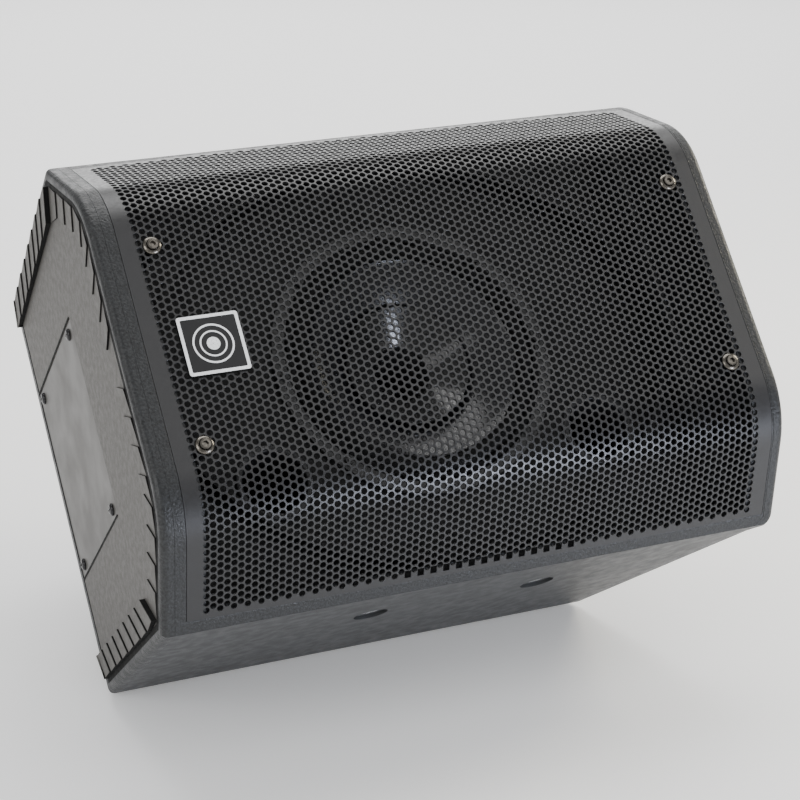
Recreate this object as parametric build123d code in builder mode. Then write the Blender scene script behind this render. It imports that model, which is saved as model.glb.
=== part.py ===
"""Stage monitor wedge: an 8 inch coaxial powered cabinet lying on its side chamfer.

Frame: millimetres, +Z up, the cabinet rests on the floor on four rubber feet. X runs along
the cabinet's long axis (its bottom end at -X, its top end at +X), and the audience looks at
the grille from -Y. The origin is the middle of the bounding box, on the floor.

The cabinet is drawn on three planes through the middle of its front face: `front` (x across,
y up the front, z out of the grille), `section` (x is depth behind the front, y up the front)
and `plan` (x along the cabinet, y is depth).
"""

import os
from math import cos, radians, sin, tan

from build123d import *

# ---------------------------------------------------------------- driving dimensions
wedge_angle = 44.0  # between the grille face and the vertical
cabinet_y = -108.7  # where the middle of the front face stands
foot_height = 3.0

bottom_end_x = -230.4  # flat bottom end of the cabinet
top_end_x = 233.8  # rim of the top end
middle_x = 5.0  # middle of the grille and of the driver
front_corner = 112.8  # where the front face and its bevel would meet
bend_radius = 61.0
bevel_angle = 49.0
lip_depth = 71.2  # depth of the corner between bevel and side
lip_half = 174.7
shoulder_depth = 247.5  # depth where the sides end and the chamfers start
shoulder_half = 161.0
chamfer_length = 105.0
rim_depth = 71.2
slope_depth = 82.0  # depth where the sloping top end starts
top_slope = 22.0
top_corner_x = 221.8  # where the rim ends and the sloping top end starts
rear_taper = 0.56  # how far each end draws in per millimetre of chamfer depth
cap = 9.0  # thickness of the end caps
wall = 6.0
corner_round = 5.0

grille_half_length = 218.4
grille_sheet = 1.5
strip = 9.0  # width of the trim strip below the grille

baffle_depth = 90.0
baffle_thickness = 12.0
driver_radius = 105.0
driver_bolt_circle = 98.5
driver_bolts = 8
cutout_radius = 93.0
port_offset_x = 126.0
port_height = -76.0
port_radius, port_wall, port_flange = 23.0, 3.0, 5.0
port_length = 44.0
oval_x, oval_v, oval_width, oval_height = 196.0, 157.0, 5.0, 14.0  # ring on the baffle

insert_spacing = 130.0
insert_middle_x = 0.6
insert_depth = 129.0
insert_thread = 3.4  # tapping radius of an M8 thread
insert_radius, insert_length = 8.0, 14.0
insert_seat_radius, insert_seat = 12.5, 2.5  # round recess that an insert sits in

panel_x = -40.0  # middle of the amplifier panel
panel_width = 250.0
panel_height = 144.0
panel_sheet = 2.5

feet_x, feet_y = -40.0, 119.0  # middle of the four feet
feet_spacing_x, feet_spacing_y = 250.0, 68.0
foot_radius, foot_seat = 12.5, 2.0  # foot_seat is how deep a foot sits in the shell

cover_depth, cover_length, cover_height = 173.0, 136.0, 148.0
cover_screw_x, cover_screw_v = 114.0, 133.0  # spacing of the cover plate's screws
recess_inset, recess_depth = 7.0, 3.5  # hollow of the bottom end that takes the end panel
end_panel_inset, end_panel_sheet = 9.0, 3.0

cup_length, cup_width, cup_depth, cup_wall = 150.0, 84.0, 40.0, 3.0
cup_corner, cup_run = 14.0, 128.0  # corner radius; middle of the cup down the sloping end
handle_bezel = 2.5
bar_width, bar_thickness, bar_sunk = 26.0, 13.0, 1.0

gap = 0.2  # clearance between pieces that are screwed together
screw_hole = 2.1  # radius of the holes that M4 screws go through
screw_shank = 2.0
screw_head, head_height = 4.0, 1.8
panel_screw_x, panel_screw_v = panel_width - 10, panel_height - 8
handle_screw_x, handle_screw_v = cup_length + 14, cup_width - 20

# ---------------------------------------------------------------- worked out
back_depth = shoulder_depth + chamfer_length * cos(radians(wedge_angle))
back_half = shoulder_half - chamfer_length * sin(radians(wedge_angle))
into = Vector(0, cos(radians(wedge_angle)), -sin(radians(wedge_angle)))
up_front = Vector(0, sin(radians(wedge_angle)), cos(radians(wedge_angle)))
front_height = (
    shoulder_depth * sin(radians(wedge_angle))
    + shoulder_half * cos(radians(wedge_angle))
    + foot_height
)
origin = Vector(0, cabinet_y, front_height)
front = Plane(origin, x_dir=(1, 0, 0), z_dir=-into)
section = Plane(origin, x_dir=into, z_dir=(1, 0, 0))
plan = Plane(origin, x_dir=(1, 0, 0), z_dir=up_front)
driver = Plane(origin + Vector(middle_x, 0, 0), x_dir=(1, 0, 0), z_dir=-into)
along = Plane(driver.origin, x_dir=into, z_dir=(0, -into.Z, into.Y))
rear = Plane(
    origin + Vector(panel_x, 0, 0) + into * back_depth, x_dir=(-1, 0, 0), z_dir=into
)
side_tilt = (lip_half - shoulder_half) / (shoulder_depth - lip_depth)
reach = 400.0  # longer than the cabinet, for cuts that go right through

os.makedirs("parts", exist_ok=True)


def save(part, node):
    """Label a finished piece and write its STEP file."""
    part.label = node
    export_step(part, f"parts/{node}.step")


def cabinet_section(inset=0.0):
    """Outline of the cabinet across its length, drawn in by `inset`."""
    half = [
        (0, front_corner),
        (lip_depth, lip_half),
        (shoulder_depth, shoulder_half),
        (back_depth, back_half),
    ]
    with BuildSketch() as outline:
        with BuildLine():
            Polyline(*half, *[(d, -v) for d, v in reversed(half)], close=True)
        make_face()
        fillet(outline.vertices().group_by(Axis.X)[0], bend_radius)
        if inset:
            offset(amount=-inset, kind=Kind.INTERSECTION)
    return outline.sketch


def plan_section(inset=0.0):
    """Plan outline, its two ends drawn in by `inset`; it runs past the front and back."""
    shoulder_x = top_corner_x - (shoulder_depth - lip_depth) * tan(radians(top_slope))
    slope_x = top_corner_x - (slope_depth - lip_depth) * tan(radians(top_slope))
    past = 60.0
    with BuildSketch() as outline:
        with BuildLine():
            Polyline(
                (bottom_end_x, -past),
                (top_end_x, -past),
                (top_end_x, rim_depth),
                (slope_x, slope_depth),
                (shoulder_x, shoulder_depth),
                (shoulder_x - (past + 40) * rear_taper, shoulder_depth + past + 40),
                (bottom_end_x + (past + 40) * rear_taper, shoulder_depth + past + 40),
                (bottom_end_x, shoulder_depth),
                close=True,
            )
        make_face()
        if inset:
            offset(amount=-inset, kind=Kind.INTERSECTION)
    return outline.sketch


def plan_block(inset=0.0):
    """Block of the plan outline, deeper than the cabinet, to trim its pieces with."""
    with BuildPart() as block:
        with BuildSketch(plan):
            add(plan_section(inset))
        extrude(amount=reach, both=True)
    return block.part


def section_slab(nearest, furthest, inset=0.0, hollow=0.0):
    """Length of the cabinet's section between two depths, hollow by `hollow` if given."""
    with BuildPart() as slab:
        with BuildSketch(section.offset(-reach)):
            add(cabinet_section(inset))
            if hollow:
                add(cabinet_section(hollow), mode=Mode.SUBTRACT)
            with Locations((nearest - reach / 2, 0)):
                Rectangle(reach, reach * 2, mode=Mode.SUBTRACT)
            with Locations((furthest + reach / 2, 0)):
                Rectangle(reach, reach * 2, mode=Mode.SUBTRACT)
        extrude(amount=reach * 2)
    return slab.part


# ---------------------------------------------------------------- casing
def side_plane(sign):
    """Plane on the upper (+1) or lower (-1) side, at the insert row, facing outwards."""
    height = lip_half - side_tilt * (insert_depth - lip_depth)
    normal = (up_front * sign + into * side_tilt).normalized()
    point = origin + into * insert_depth + up_front * (sign * height)
    return Plane(point + Vector(insert_middle_x, 0, 0), x_dir=(1, 0, 0), z_dir=normal)


with BuildPart() as rear_shell:
    add(section_slab(lip_depth, back_depth + 1, hollow=wall))
    add(plan_block(cap), mode=Mode.INTERSECT)
    with BuildSketch(rear.offset(-wall * 2)):
        Rectangle(panel_width - 20, panel_height - 16)
        with GridLocations(panel_screw_x, panel_screw_v, 2, 2):
            Circle(screw_hole)
    extrude(amount=wall * 3, mode=Mode.SUBTRACT)
    for sign in (1, -1):
        with BuildSketch(side_plane(sign)):
            with GridLocations(insert_spacing, 0, 2, 1):
                Circle(insert_seat_radius)
        extrude(amount=-insert_seat, mode=Mode.SUBTRACT)
        with BuildSketch(side_plane(sign)):
            with GridLocations(insert_spacing, 0, 2, 1):
                Circle(insert_radius + gap)
        extrude(amount=-wall * 2, mode=Mode.SUBTRACT)
    with BuildSketch(Plane.XY):
        with Locations((feet_x, cabinet_y + feet_y)):
            with GridLocations(feet_spacing_x, feet_spacing_y, 2, 2):
                Circle(foot_radius + gap)
    extrude(amount=foot_height + foot_seat, mode=Mode.SUBTRACT)
save(rear_shell.part, "rear_shell")

recess_end = shoulder_depth - 6
with BuildPart() as bottom_end_cap:
    with BuildSketch(plan):
        add(plan_section())
        add(plan_section(cap), mode=Mode.SUBTRACT)
        with Locations((reach / 2 - 100, 0)):
            Rectangle(reach, reach * 2, mode=Mode.SUBTRACT)
    extrude(amount=reach, both=True)
    add(section_slab(-1, back_depth + 1), mode=Mode.INTERSECT)
    outer_end = bottom_end_cap.faces().filter_by(Axis.X).sort_by(Axis.X)[0]
    fillet(outer_end.edges(), corner_round)
    with BuildSketch(section.offset(bottom_end_x)):
        add(cabinet_section(recess_inset))
        with Locations((recess_end + reach / 2, 0)):
            Rectangle(reach, reach * 2, mode=Mode.SUBTRACT)
    extrude(amount=recess_depth, mode=Mode.SUBTRACT)
    with BuildSketch(section.offset(bottom_end_x)):
        with Locations((cover_depth, 0)):
            with GridLocations(cover_screw_x, cover_screw_v, 2, 2):
                Circle(screw_hole)
    extrude(amount=cap + 1, mode=Mode.SUBTRACT)
save(bottom_end_cap.part, "bottom_end_cap")

top_face = Plane(
    origin
    + Vector(top_corner_x, 0, 0)
    + into * lip_depth
    + (into * cos(radians(top_slope)) - Vector(sin(radians(top_slope)), 0, 0)) * cup_run,
    x_dir=up_front,
    z_dir=Vector(cos(radians(top_slope)), 0, 0) + into * sin(radians(top_slope)),
)
with BuildPart() as top_end_cap:
    with BuildSketch(plan):
        add(plan_section())
        add(plan_section(cap), mode=Mode.SUBTRACT)
        with Locations((90 - reach / 2, 0)):
            Rectangle(reach, reach * 2, mode=Mode.SUBTRACT)
    extrude(amount=reach, both=True)
    add(section_slab(-1, back_depth + 1), mode=Mode.INTERSECT)
    rim = top_end_cap.faces().filter_by(Axis.X).sort_by(Axis.X)[-1]
    fillet(rim.edges(), corner_round)
    with BuildSketch(top_face.offset(cap)):
        RectangleRounded(cup_length + 2 * gap, cup_width + 2 * gap, cup_corner)
    extrude(amount=-3 * cap, mode=Mode.SUBTRACT)
    with BuildSketch(top_face.offset(cap)):
        with GridLocations(handle_screw_x, handle_screw_v, 2, 2):
            Circle(screw_hole)
    extrude(amount=-3 * cap, mode=Mode.SUBTRACT)
save(top_end_cap.part, "top_end_cap")

with BuildPart() as handle_cup:
    with BuildSketch(top_face):
        RectangleRounded(cup_length + 28, cup_width + 10, 12)
    extrude(amount=handle_bezel)
    with BuildSketch(top_face):
        RectangleRounded(cup_length, cup_width, cup_corner)
    extrude(amount=-cup_depth)
    with BuildSketch(top_face.offset(3)):
        RectangleRounded(
            cup_length - 2 * cup_wall, cup_width - 2 * cup_wall, cup_corner - cup_wall
        )
    extrude(amount=-cup_depth, mode=Mode.SUBTRACT)
    with BuildSketch(top_face.offset(3)):
        with GridLocations(handle_screw_x, handle_screw_v, 2, 2):
            Circle(screw_hole)
    extrude(amount=-6, mode=Mode.SUBTRACT)
save(handle_cup.part, "handle_cup")

with BuildPart() as handle_bar:
    with BuildSketch(top_face.offset(-bar_sunk)):
        SlotOverall(cup_length - 2 * cup_wall - 2 * gap, bar_width)
    extrude(amount=-bar_thickness)
    fillet(handle_bar.edges().filter_by(lambda e: e.length > 20), 5)
save(handle_bar.part, "handle_bar")

with BuildPart() as handle_screws:
    with BuildSketch(top_face.offset(handle_bezel)):
        with GridLocations(handle_screw_x, handle_screw_v, 2, 2):
            Circle(screw_head)
    extrude(amount=head_height)
    with BuildSketch(top_face.offset(handle_bezel)):
        with GridLocations(handle_screw_x, handle_screw_v, 2, 2):
            Circle(screw_shank)
    extrude(amount=-14)
save(handle_screws.part, "handle_screws")

# Front frame: the bands at both ends of the grille and the lips above and below it
frame_left = middle_x - grille_half_length
seat = 14.0  # how far the grille's ends rest on the frame
clear_length = 2 * (grille_half_length - seat)
lip_start = lip_depth - strip * sin(radians(bevel_angle))
with BuildPart() as front_frame:
    add(section_slab(-1, lip_depth))
    add(plan_block(cap), mode=Mode.INTERSECT)
    with BuildSketch(section.offset(frame_left + seat)):
        Rectangle(reach, reach * 2)
    extrude(amount=clear_length, mode=Mode.SUBTRACT)
    with BuildSketch(section.offset(frame_left)):
        add(cabinet_section())
        add(cabinet_section(grille_sheet + gap), mode=Mode.SUBTRACT)
        with Locations((lip_start + reach / 2, 0)):
            Rectangle(reach, reach * 2, mode=Mode.SUBTRACT)
    extrude(amount=2 * grille_half_length, mode=Mode.SUBTRACT)
    with BuildSketch(section.offset(frame_left + seat)):
        add(cabinet_section())
        add(cabinet_section(wall), mode=Mode.SUBTRACT)
        with Locations((lip_depth + reach / 2, 0)):
            Rectangle(reach, reach * 2, mode=Mode.SUBTRACT)
        with Locations((lip_start - reach / 2, 0)):
            Rectangle(reach, reach * 2, mode=Mode.SUBTRACT)
    extrude(amount=clear_length)
save(front_frame.part, "front_frame")

# ---------------------------------------------------------------- grille and badge
grille_screw_x, grille_screw_v = 196.0, 72.5
washer_bore, socket_head, socket_head_height = 2.6, 3.9, 1.9
hexagon, hexagon_depth, grille_screw_length = 1.8, 2.0, 30.0
with BuildPart() as grille:
    with BuildSketch(section.offset(frame_left + gap)):
        add(cabinet_section())
        add(cabinet_section(grille_sheet), mode=Mode.SUBTRACT)
        with Locations((lip_start + reach / 2 - 0.5, 0)):
            Rectangle(reach, reach * 2, mode=Mode.SUBTRACT)
    extrude(amount=2 * (grille_half_length - gap))
    with BuildSketch(driver):
        with GridLocations(2 * grille_screw_x, 2 * grille_screw_v, 2, 2):
            Circle(washer_bore)
    extrude(amount=-10, mode=Mode.SUBTRACT)
save(grille.part, "grille")

with BuildPart() as grille_cup_washers:
    with BuildSketch(along) as washer_line:
        with BuildLine():
            Polyline(
                (0, washer_bore), (0, 6.6), (-0.8, 6.2), (-1.9, 4.2), (-1.9, washer_bore),
                close=True,
            )
        make_face()
    ring = Solid.revolve(
        washer_line.sketch.faces()[0], 360, Axis(driver.origin, into)
    )
    with Locations(
        *[
            Location(Vector(x, 0, 0) + up_front * v)
            for x in (-grille_screw_x, grille_screw_x)
            for v in (-grille_screw_v, grille_screw_v)
        ]
    ):
        add(ring)
save(grille_cup_washers.part, "grille_cup_washers")

post_radius, post_bore = 3.3, 2.15
with BuildPart() as grille_posts:
    with BuildSketch(driver.offset(-grille_sheet - gap)):
        with GridLocations(2 * grille_screw_x, 2 * grille_screw_v, 2, 2):
            Circle(post_radius)
            Circle(post_bore, mode=Mode.SUBTRACT)
    extrude(amount=-(baffle_depth - grille_sheet - 2 * gap))
save(grille_posts.part, "grille_posts")

with BuildPart() as grille_screws:
    with BuildSketch(driver.offset(socket_head_height)):
        with GridLocations(2 * grille_screw_x, 2 * grille_screw_v, 2, 2):
            Circle(socket_head)
    extrude(amount=socket_head_height)
    with BuildSketch(driver.offset(2.4)):
        with GridLocations(2 * grille_screw_x, 2 * grille_screw_v, 2, 2):
            RegularPolygon(hexagon, 6)
    extrude(amount=hexagon_depth, mode=Mode.SUBTRACT)
    with BuildSketch(driver.offset(socket_head_height)):
        with GridLocations(2 * grille_screw_x, 2 * grille_screw_v, 2, 2):
            Circle(screw_hole)
    extrude(amount=-grille_screw_length)
save(grille_screws.part, "grille_screws")

badge_x, badge_v, badge_size, badge_sheet = -167.9, -4.0, 43.0, 1.6
emblem_radius = 13.0
with BuildPart() as badge:
    with BuildSketch(front.offset(gap)):
        with Locations((badge_x, badge_v)):
            RectangleRounded(badge_size, badge_size, 2)
    extrude(amount=badge_sheet)
    with BuildSketch(front.offset(1.2)):
        with Locations((badge_x, badge_v)):
            Rectangle(badge_size - 8, badge_size - 8)
            Circle(emblem_radius, mode=Mode.SUBTRACT)
            Circle(emblem_radius - 5)
    extrude(amount=2, mode=Mode.SUBTRACT)
save(badge.part, "badge")

# ---------------------------------------------------------------- bottom end
panel_end = shoulder_depth - 7
end_panel_x = bottom_end_x + 0.3  # outer face of the end panel
with BuildPart() as end_panel:
    with BuildSketch(section.offset(end_panel_x)):
        add(cabinet_section(end_panel_inset))
        with Locations((panel_end + reach / 2, 0)):
            Rectangle(reach, reach * 2, mode=Mode.SUBTRACT)
        with Locations((cover_depth, 0)):
            Rectangle(cover_length + 1, cover_height + 1, mode=Mode.SUBTRACT)
    extrude(amount=end_panel_sheet)
save(end_panel.part, "end_panel")

pad_outer, pad_inner, pad_start, pad_height = 10.5, 31.0, 66.0, 3.5
with BuildPart() as rib_pads:
    with BuildSketch(section.offset(end_panel_x - gap)):
        add(cabinet_section(pad_outer))
        add(cabinet_section(pad_inner), mode=Mode.SUBTRACT)
        with Locations((pad_start - reach / 2, 0), (panel_end + reach / 2, 0)):
            Rectangle(reach, reach * 2, mode=Mode.SUBTRACT)
    extrude(amount=-pad_height)
save(rib_pads.part, "rib_pads")

cover_x, cover_sheet = bottom_end_x + 0.6, 2.7
with BuildPart() as cover_plate:
    with BuildSketch(section.offset(cover_x)):
        with Locations((cover_depth, 0)):
            Rectangle(cover_length, cover_height)
            with GridLocations(cover_screw_x, cover_screw_v, 2, 2):
                Circle(screw_shank + gap, mode=Mode.SUBTRACT)
    extrude(amount=cover_sheet)
save(cover_plate.part, "cover_plate")

with BuildPart() as cover_plate_screws:
    with BuildSketch(section.offset(cover_x - gap / 2)):
        with Locations((cover_depth, 0)):
            with GridLocations(cover_screw_x, cover_screw_v, 2, 2):
                Circle(screw_head + gap)
    extrude(amount=-2.4)
    fillet(cover_plate_screws.faces().sort_by(Axis.X)[:4].edges(), 1.2)
    with BuildSketch(section.offset(cover_x - gap / 2)):
        with Locations((cover_depth, 0)):
            with GridLocations(cover_screw_x, cover_screw_v, 2, 2):
                Circle(screw_shank)
    extrude(amount=12)
save(cover_plate_screws.part, "cover_plate_screws")

# ---------------------------------------------------------------- baffle and ports
with BuildPart() as baffle:
    add(section_slab(baffle_depth, baffle_depth + baffle_thickness, wall + gap))
    add(plan_block(cap + gap), mode=Mode.INTERSECT)
    with BuildSketch(driver.offset(-baffle_depth)):
        Ellipse(oval_x, oval_v)
        Ellipse(oval_x - oval_width, oval_v - oval_width, mode=Mode.SUBTRACT)
    extrude(amount=oval_height)
    with BuildSketch(driver.offset(-baffle_depth + 20)):
        Circle(cutout_radius)
        with Locations((-port_offset_x, port_height), (port_offset_x, port_height)):
            Circle(port_radius + port_wall + gap)
        with PolarLocations(driver_bolt_circle, driver_bolts):
            Circle(screw_hole)
    extrude(amount=-60, mode=Mode.SUBTRACT)
save(baffle.part, "baffle")

for side, name in ((-1, "port_tube_left"), (1, "port_tube_right")):
    mouth = driver.offset(-baffle_depth)
    spot = (side * port_offset_x, port_height)
    with BuildPart() as port_tube:
        with BuildSketch(mouth.offset(gap)):
            with Locations(spot):
                Circle(port_radius + port_flange)
        extrude(amount=port_wall)
        fillet(port_tube.faces().sort_by(Axis(mouth.origin, mouth.z_dir))[-1].edges(), 1.5)
        with BuildSketch(mouth.offset(gap)):
            with Locations(spot):
                Circle(port_radius + port_wall)
        extrude(amount=-port_length)
        with BuildSketch(mouth.offset(4)):
            with Locations(spot):
                Circle(port_radius)
        extrude(amount=-port_length - 10, mode=Mode.SUBTRACT)
        rim_edges = port_tube.edges().filter_by(GeomType.CIRCLE)
        inner_mouth = rim_edges.sort_by(Axis(mouth.origin, mouth.z_dir))[-1]
        fillet(inner_mouth, 1.5)
    save(port_tube.part, name)

# ---------------------------------------------------------------- coaxial driver
driver_axis = Axis(driver.origin, into)


def turned(*points):
    """Solid of revolution about the driver's axis from (depth, radius) points."""
    with BuildPart() as turning:
        with BuildSketch(along):
            with BuildLine():
                Polyline(*points, close=True)
            make_face()
        revolve(axis=driver_axis)
    return turning.part


flange = baffle_depth - gap
with BuildPart() as driver_basket:
    add(
        turned(
            (flange - 4, driver_radius - 9),
            (flange - 4, driver_radius),
            (flange, driver_radius),
            (flange, cutout_radius - 1),
            (flange + 6, cutout_radius - 1),
            (flange + 44, 62),
            (flange + 50, 56),
            (flange + 50, 30),
            (flange + 46.5, 30),
            (flange + 46.5, 54),
            (flange + 40, 60),
            (flange + 2, cutout_radius - 5),
        )
    )
    with BuildSketch(driver.offset(-flange + 10)):
        with PolarLocations(driver_bolt_circle, driver_bolts):
            Circle(screw_hole)
    extrude(amount=-20, mode=Mode.SUBTRACT)
    with BuildSketch(driver.offset(-flange - 8)):
        with PolarLocations(76, 6):
            SlotOverall(30, 22, rotation=90)
    extrude(amount=-30, mode=Mode.SUBTRACT)
save(driver_basket.part, "driver_basket")

save(
    turned(
        (flange - 4.2, driver_radius - 13.8),
        (flange - 6.5, driver_radius - 13.8),
        (flange - 6.5, driver_radius - 10.4),
        (flange - 4.2, driver_radius - 10.4),
    ),
    "driver_gasket",
)

driver_surround = turned(
    (flange - 4.4, 91),
    (flange - 4.4, 90),
    (flange - 8.5, 88),
    (flange - 10, 84.5),
    (flange - 8.5, 81),
    (flange - 4.4, 78.6),
    (flange - 3.4, 78.6),
    (flange - 7.3, 81.6),
    (flange - 8.8, 84.5),
    (flange - 7.3, 87.4),
    (flange - 3.6, 89.2),
    (flange - 2.6, 90.6),
)
save(driver_surround, "driver_surround")

coil_radius = 25.4
save(
    turned(
        (flange - 4.2, 78),
        (flange - 2.8, 78.2),
        (flange + 16, 52),
        (flange + 36, coil_radius + 1.2),
        (flange + 36, coil_radius + 0.2),
        (flange + 34.6, coil_radius + 0.2),
        (flange + 15, 51),
    ),
    "driver_cone",
)
save(
    turned(
        (flange + 32, coil_radius),
        (flange + 32, coil_radius - 0.4),
        (flange + 66, coil_radius - 0.4),
        (flange + 66, coil_radius + 0.5),
        (flange + 54, coil_radius + 0.5),
        (flange + 54, coil_radius),
    ),
    "voice_coil",
)
save(
    turned(
        (flange + 38, coil_radius + 0.6),
        (flange + 38, 34),
        (flange + 41, 38),
        (flange + 38, 42),
        (flange + 41, 46),
        (flange + 40, 51),
        (flange + 41, 51),
        (flange + 42.2, 46),
        (flange + 39.2, 42),
        (flange + 42.2, 38),
        (flange + 39.2, 34),
        (flange + 39.2, coil_radius + 0.6),
    ),
    "driver_spider",
)
plate_front = flange + 50 + gap
save(
    turned(
        (plate_front, 27),
        (plate_front, 50),
        (plate_front + 8, 50),
        (plate_front + 8, 27),
    ),
    "driver_top_plate",
)
save(
    turned(
        (plate_front + 8 + gap, 32),
        (plate_front + 8 + gap, 57),
        (plate_front + 24, 57),
        (plate_front + 24, 32),
    ),
    "driver_magnet",
)
save(
    turned(
        (plate_front, 13),
        (plate_front, 23.8),
        (plate_front + 24 + gap, 23.8),
        (plate_front + 24 + gap, 54),
        (plate_front + 32, 54),
        (plate_front + 32, 13),
    ),
    "driver_pole_yoke",
)
horn_throat = plate_front + 32
save(
    turned(
        (flange + 8, 46),
        (flange + 10, 46.6),
        (flange + 22, 30),
        (flange + 27, 23.6),
        (flange + 36, 19.5),
        (plate_front, 14.5),
        (plate_front, 12.8),
        (horn_throat, 12.8),
        (horn_throat, 11),
        (plate_front, 11.5),
        (flange + 35, 17.5),
        (flange + 26, 21.2),
        (flange + 20.5, 28),
    ),
    "driver_horn",
)
save(
    turned(
        (horn_throat + gap, 11),
        (horn_throat + gap, 40),
        (horn_throat + 26, 40),
        (horn_throat + 30, 36),
        (horn_throat + 30, 0),
        (horn_throat + 18, 0),
        (horn_throat + 18, 24),
        (horn_throat + 8, 24),
        (horn_throat + 8, 11),
    ),
    "hf_driver",
)
save(
    turned(
        (horn_throat + 11, 0),
        (horn_throat + 13, 12),
        (horn_throat + 15, 22),
        (horn_throat + 15.6, 22),
        (horn_throat + 14, 12),
        (horn_throat + 12, 0),
    ),
    "hf_diaphragm",
)

bolt_head, bolt_head_height = 3.4, 2.4
with BuildPart() as driver_screws:
    with BuildSketch(driver.offset(-flange + 4 + gap)):
        with PolarLocations(driver_bolt_circle, driver_bolts):
            Circle(bolt_head)
    extrude(amount=bolt_head_height)
    with BuildSketch(driver.offset(-flange + 4 + gap)):
        with PolarLocations(driver_bolt_circle, driver_bolts):
            Circle(screw_shank)
    extrude(amount=-20)
save(driver_screws.part, "driver_screws")

# ---------------------------------------------------------------- inserts and feet
with BuildPart() as rigging_inserts:
    for sign in (1, -1):
        with BuildSketch(side_plane(sign).offset(-insert_seat)):
            with GridLocations(insert_spacing, 0, 2, 1):
                Circle(insert_radius)
                Circle(insert_thread, mode=Mode.SUBTRACT)
        extrude(amount=-insert_length)
save(rigging_inserts.part, "rigging_inserts")

with BuildPart() as floor_feet:
    with BuildSketch(Plane.XY):
        with Locations((feet_x, cabinet_y + feet_y)):
            with GridLocations(feet_spacing_x, feet_spacing_y, 2, 2):
                Circle(foot_radius)
    extrude(amount=foot_height + foot_seat - gap)
    chamfer(floor_feet.faces().filter_by(Axis.Z).sort_by(Axis.Z)[:4].edges(), 0.8)
save(floor_feet.part, "floor_feet")

# ---------------------------------------------------------------- amplifier panel
inlet, switch = (-86.0, -34.0), (-86.0, 30.0)
inlet_width, inlet_height = 48.0, 41.0  # body behind the inlet's bezel
switch_width, switch_height = 21.0, 28.0
rocker_width, rocker_height = 18.0, 25.0  # opening for the rocker
jacks = {"combo_jack_1": -36.0, "combo_jack_2": 2.0, "link_socket": 40.0}
jack_height, jack_radius, well_radius = -34.0, 12.0, 9.2
latch_width, latch_thickness = 5.0, 3.6
knobs = {"knob_mic": -46.0, "knob_line": -14.0, "knob_bass": 18.0, "knob_treble": 50.0}
knob_height, knob_radius, knob_base = 34.0, 8.0, 2.0
buttons = {"mode_button": 78.0, "lift_button": 100.0}
button_height, button_size = 34.0, 6.6
lamp_height, lamp_radius = 58.0, 1.5
lamps = (-46.0, -14.0, 18.0, 50.0, 78.0)
fins_x, fins_v, fin_base = 90.0, -26.0, 3.0
fin_count, fin_pitch, fin_sheet, fin_length, fin_height = 9, 5.5, 1.6, 74.0, 9.0
shaft_radius = 3.0
face = rear.offset(panel_sheet)

with BuildPart() as amp_panel:
    with BuildSketch(rear.offset(gap)):
        RectangleRounded(panel_width, panel_height, 5)
        with Locations(inlet):
            Rectangle(inlet_width + 2 * gap, inlet_height + 2 * gap, mode=Mode.SUBTRACT)
        with Locations(switch):
            Rectangle(switch_width + 2 * gap, switch_height + 2 * gap, mode=Mode.SUBTRACT)
        with Locations(*[(u, jack_height) for u in jacks.values()]):
            Circle(jack_radius + gap, mode=Mode.SUBTRACT)
            Rectangle(6, 29, mode=Mode.SUBTRACT)
        with Locations(*[(u, knob_height) for u in knobs.values()]):
            Circle(shaft_radius + 1.3, mode=Mode.SUBTRACT)
        with Locations(*[(u, button_height) for u in buttons.values()]):
            Rectangle(button_size + 4 * gap, button_size + 4 * gap, mode=Mode.SUBTRACT)
        with Locations(*[(u, lamp_height) for u in lamps]):
            Circle(lamp_radius + gap / 2, mode=Mode.SUBTRACT)
        with GridLocations(panel_screw_x, panel_screw_v, 2, 2):
            Circle(screw_shank + gap, mode=Mode.SUBTRACT)
    extrude(amount=panel_sheet - gap)
save(amp_panel.part, "amp_panel")

with BuildPart() as amp_panel_screws:
    with BuildSketch(face.offset(gap)):
        with GridLocations(panel_screw_x, panel_screw_v, 2, 2):
            Circle(screw_head - gap)
    extrude(amount=head_height)
    with BuildSketch(face.offset(gap)):
        with GridLocations(panel_screw_x, panel_screw_v, 2, 2):
            Circle(screw_shank)
    extrude(amount=-14)
save(amp_panel_screws.part, "amp_panel_screws")

with BuildPart() as heat_sink:
    with BuildSketch(face.offset(gap)):
        with Locations((fins_x, fins_v)):
            Rectangle((fin_count - 1) * fin_pitch + 2, fin_length)
    extrude(amount=fin_base)
    with BuildSketch(face.offset(gap + fin_base)):
        with Locations((fins_x, fins_v)):
            with GridLocations(fin_pitch, 0, fin_count, 1):
                Rectangle(fin_sheet, fin_length)
    extrude(amount=fin_height)
save(heat_sink.part, "heat_sink")

# Mains inlet with its fuse drawer below the socket
socket_v, drawer_v = inlet[1] + 6.5, inlet[1] - 14.5
drawer_width, drawer_height = 26.0, 8.0
with BuildPart() as mains_inlet:
    with BuildSketch(face.offset(gap)):
        with Locations(inlet):
            RectangleRounded(54, 46, 3)
    extrude(amount=2)
    with BuildSketch(face.offset(gap)):
        with Locations(inlet):
            Rectangle(inlet_width, inlet_height)
    extrude(amount=-24)
    with BuildSketch(face.offset(3)):
        with Locations((inlet[0], socket_v)):
            Rectangle(24.6, 17.2)
    extrude(amount=-20, mode=Mode.SUBTRACT)
    with BuildSketch(face.offset(3)):
        with Locations((inlet[0], drawer_v)):
            Rectangle(drawer_width + gap, drawer_height + gap)
    extrude(amount=-24, mode=Mode.SUBTRACT)
    with BuildSketch(face.offset(-17.2)):
        with Locations((inlet[0], socket_v + 2)):
            Rectangle(2, 4)
        with Locations((inlet[0] - 7, socket_v - 2), (inlet[0] + 7, socket_v - 2)):
            Rectangle(2, 4)
    extrude(amount=15)
save(mains_inlet.part, "mains_inlet")

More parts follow.
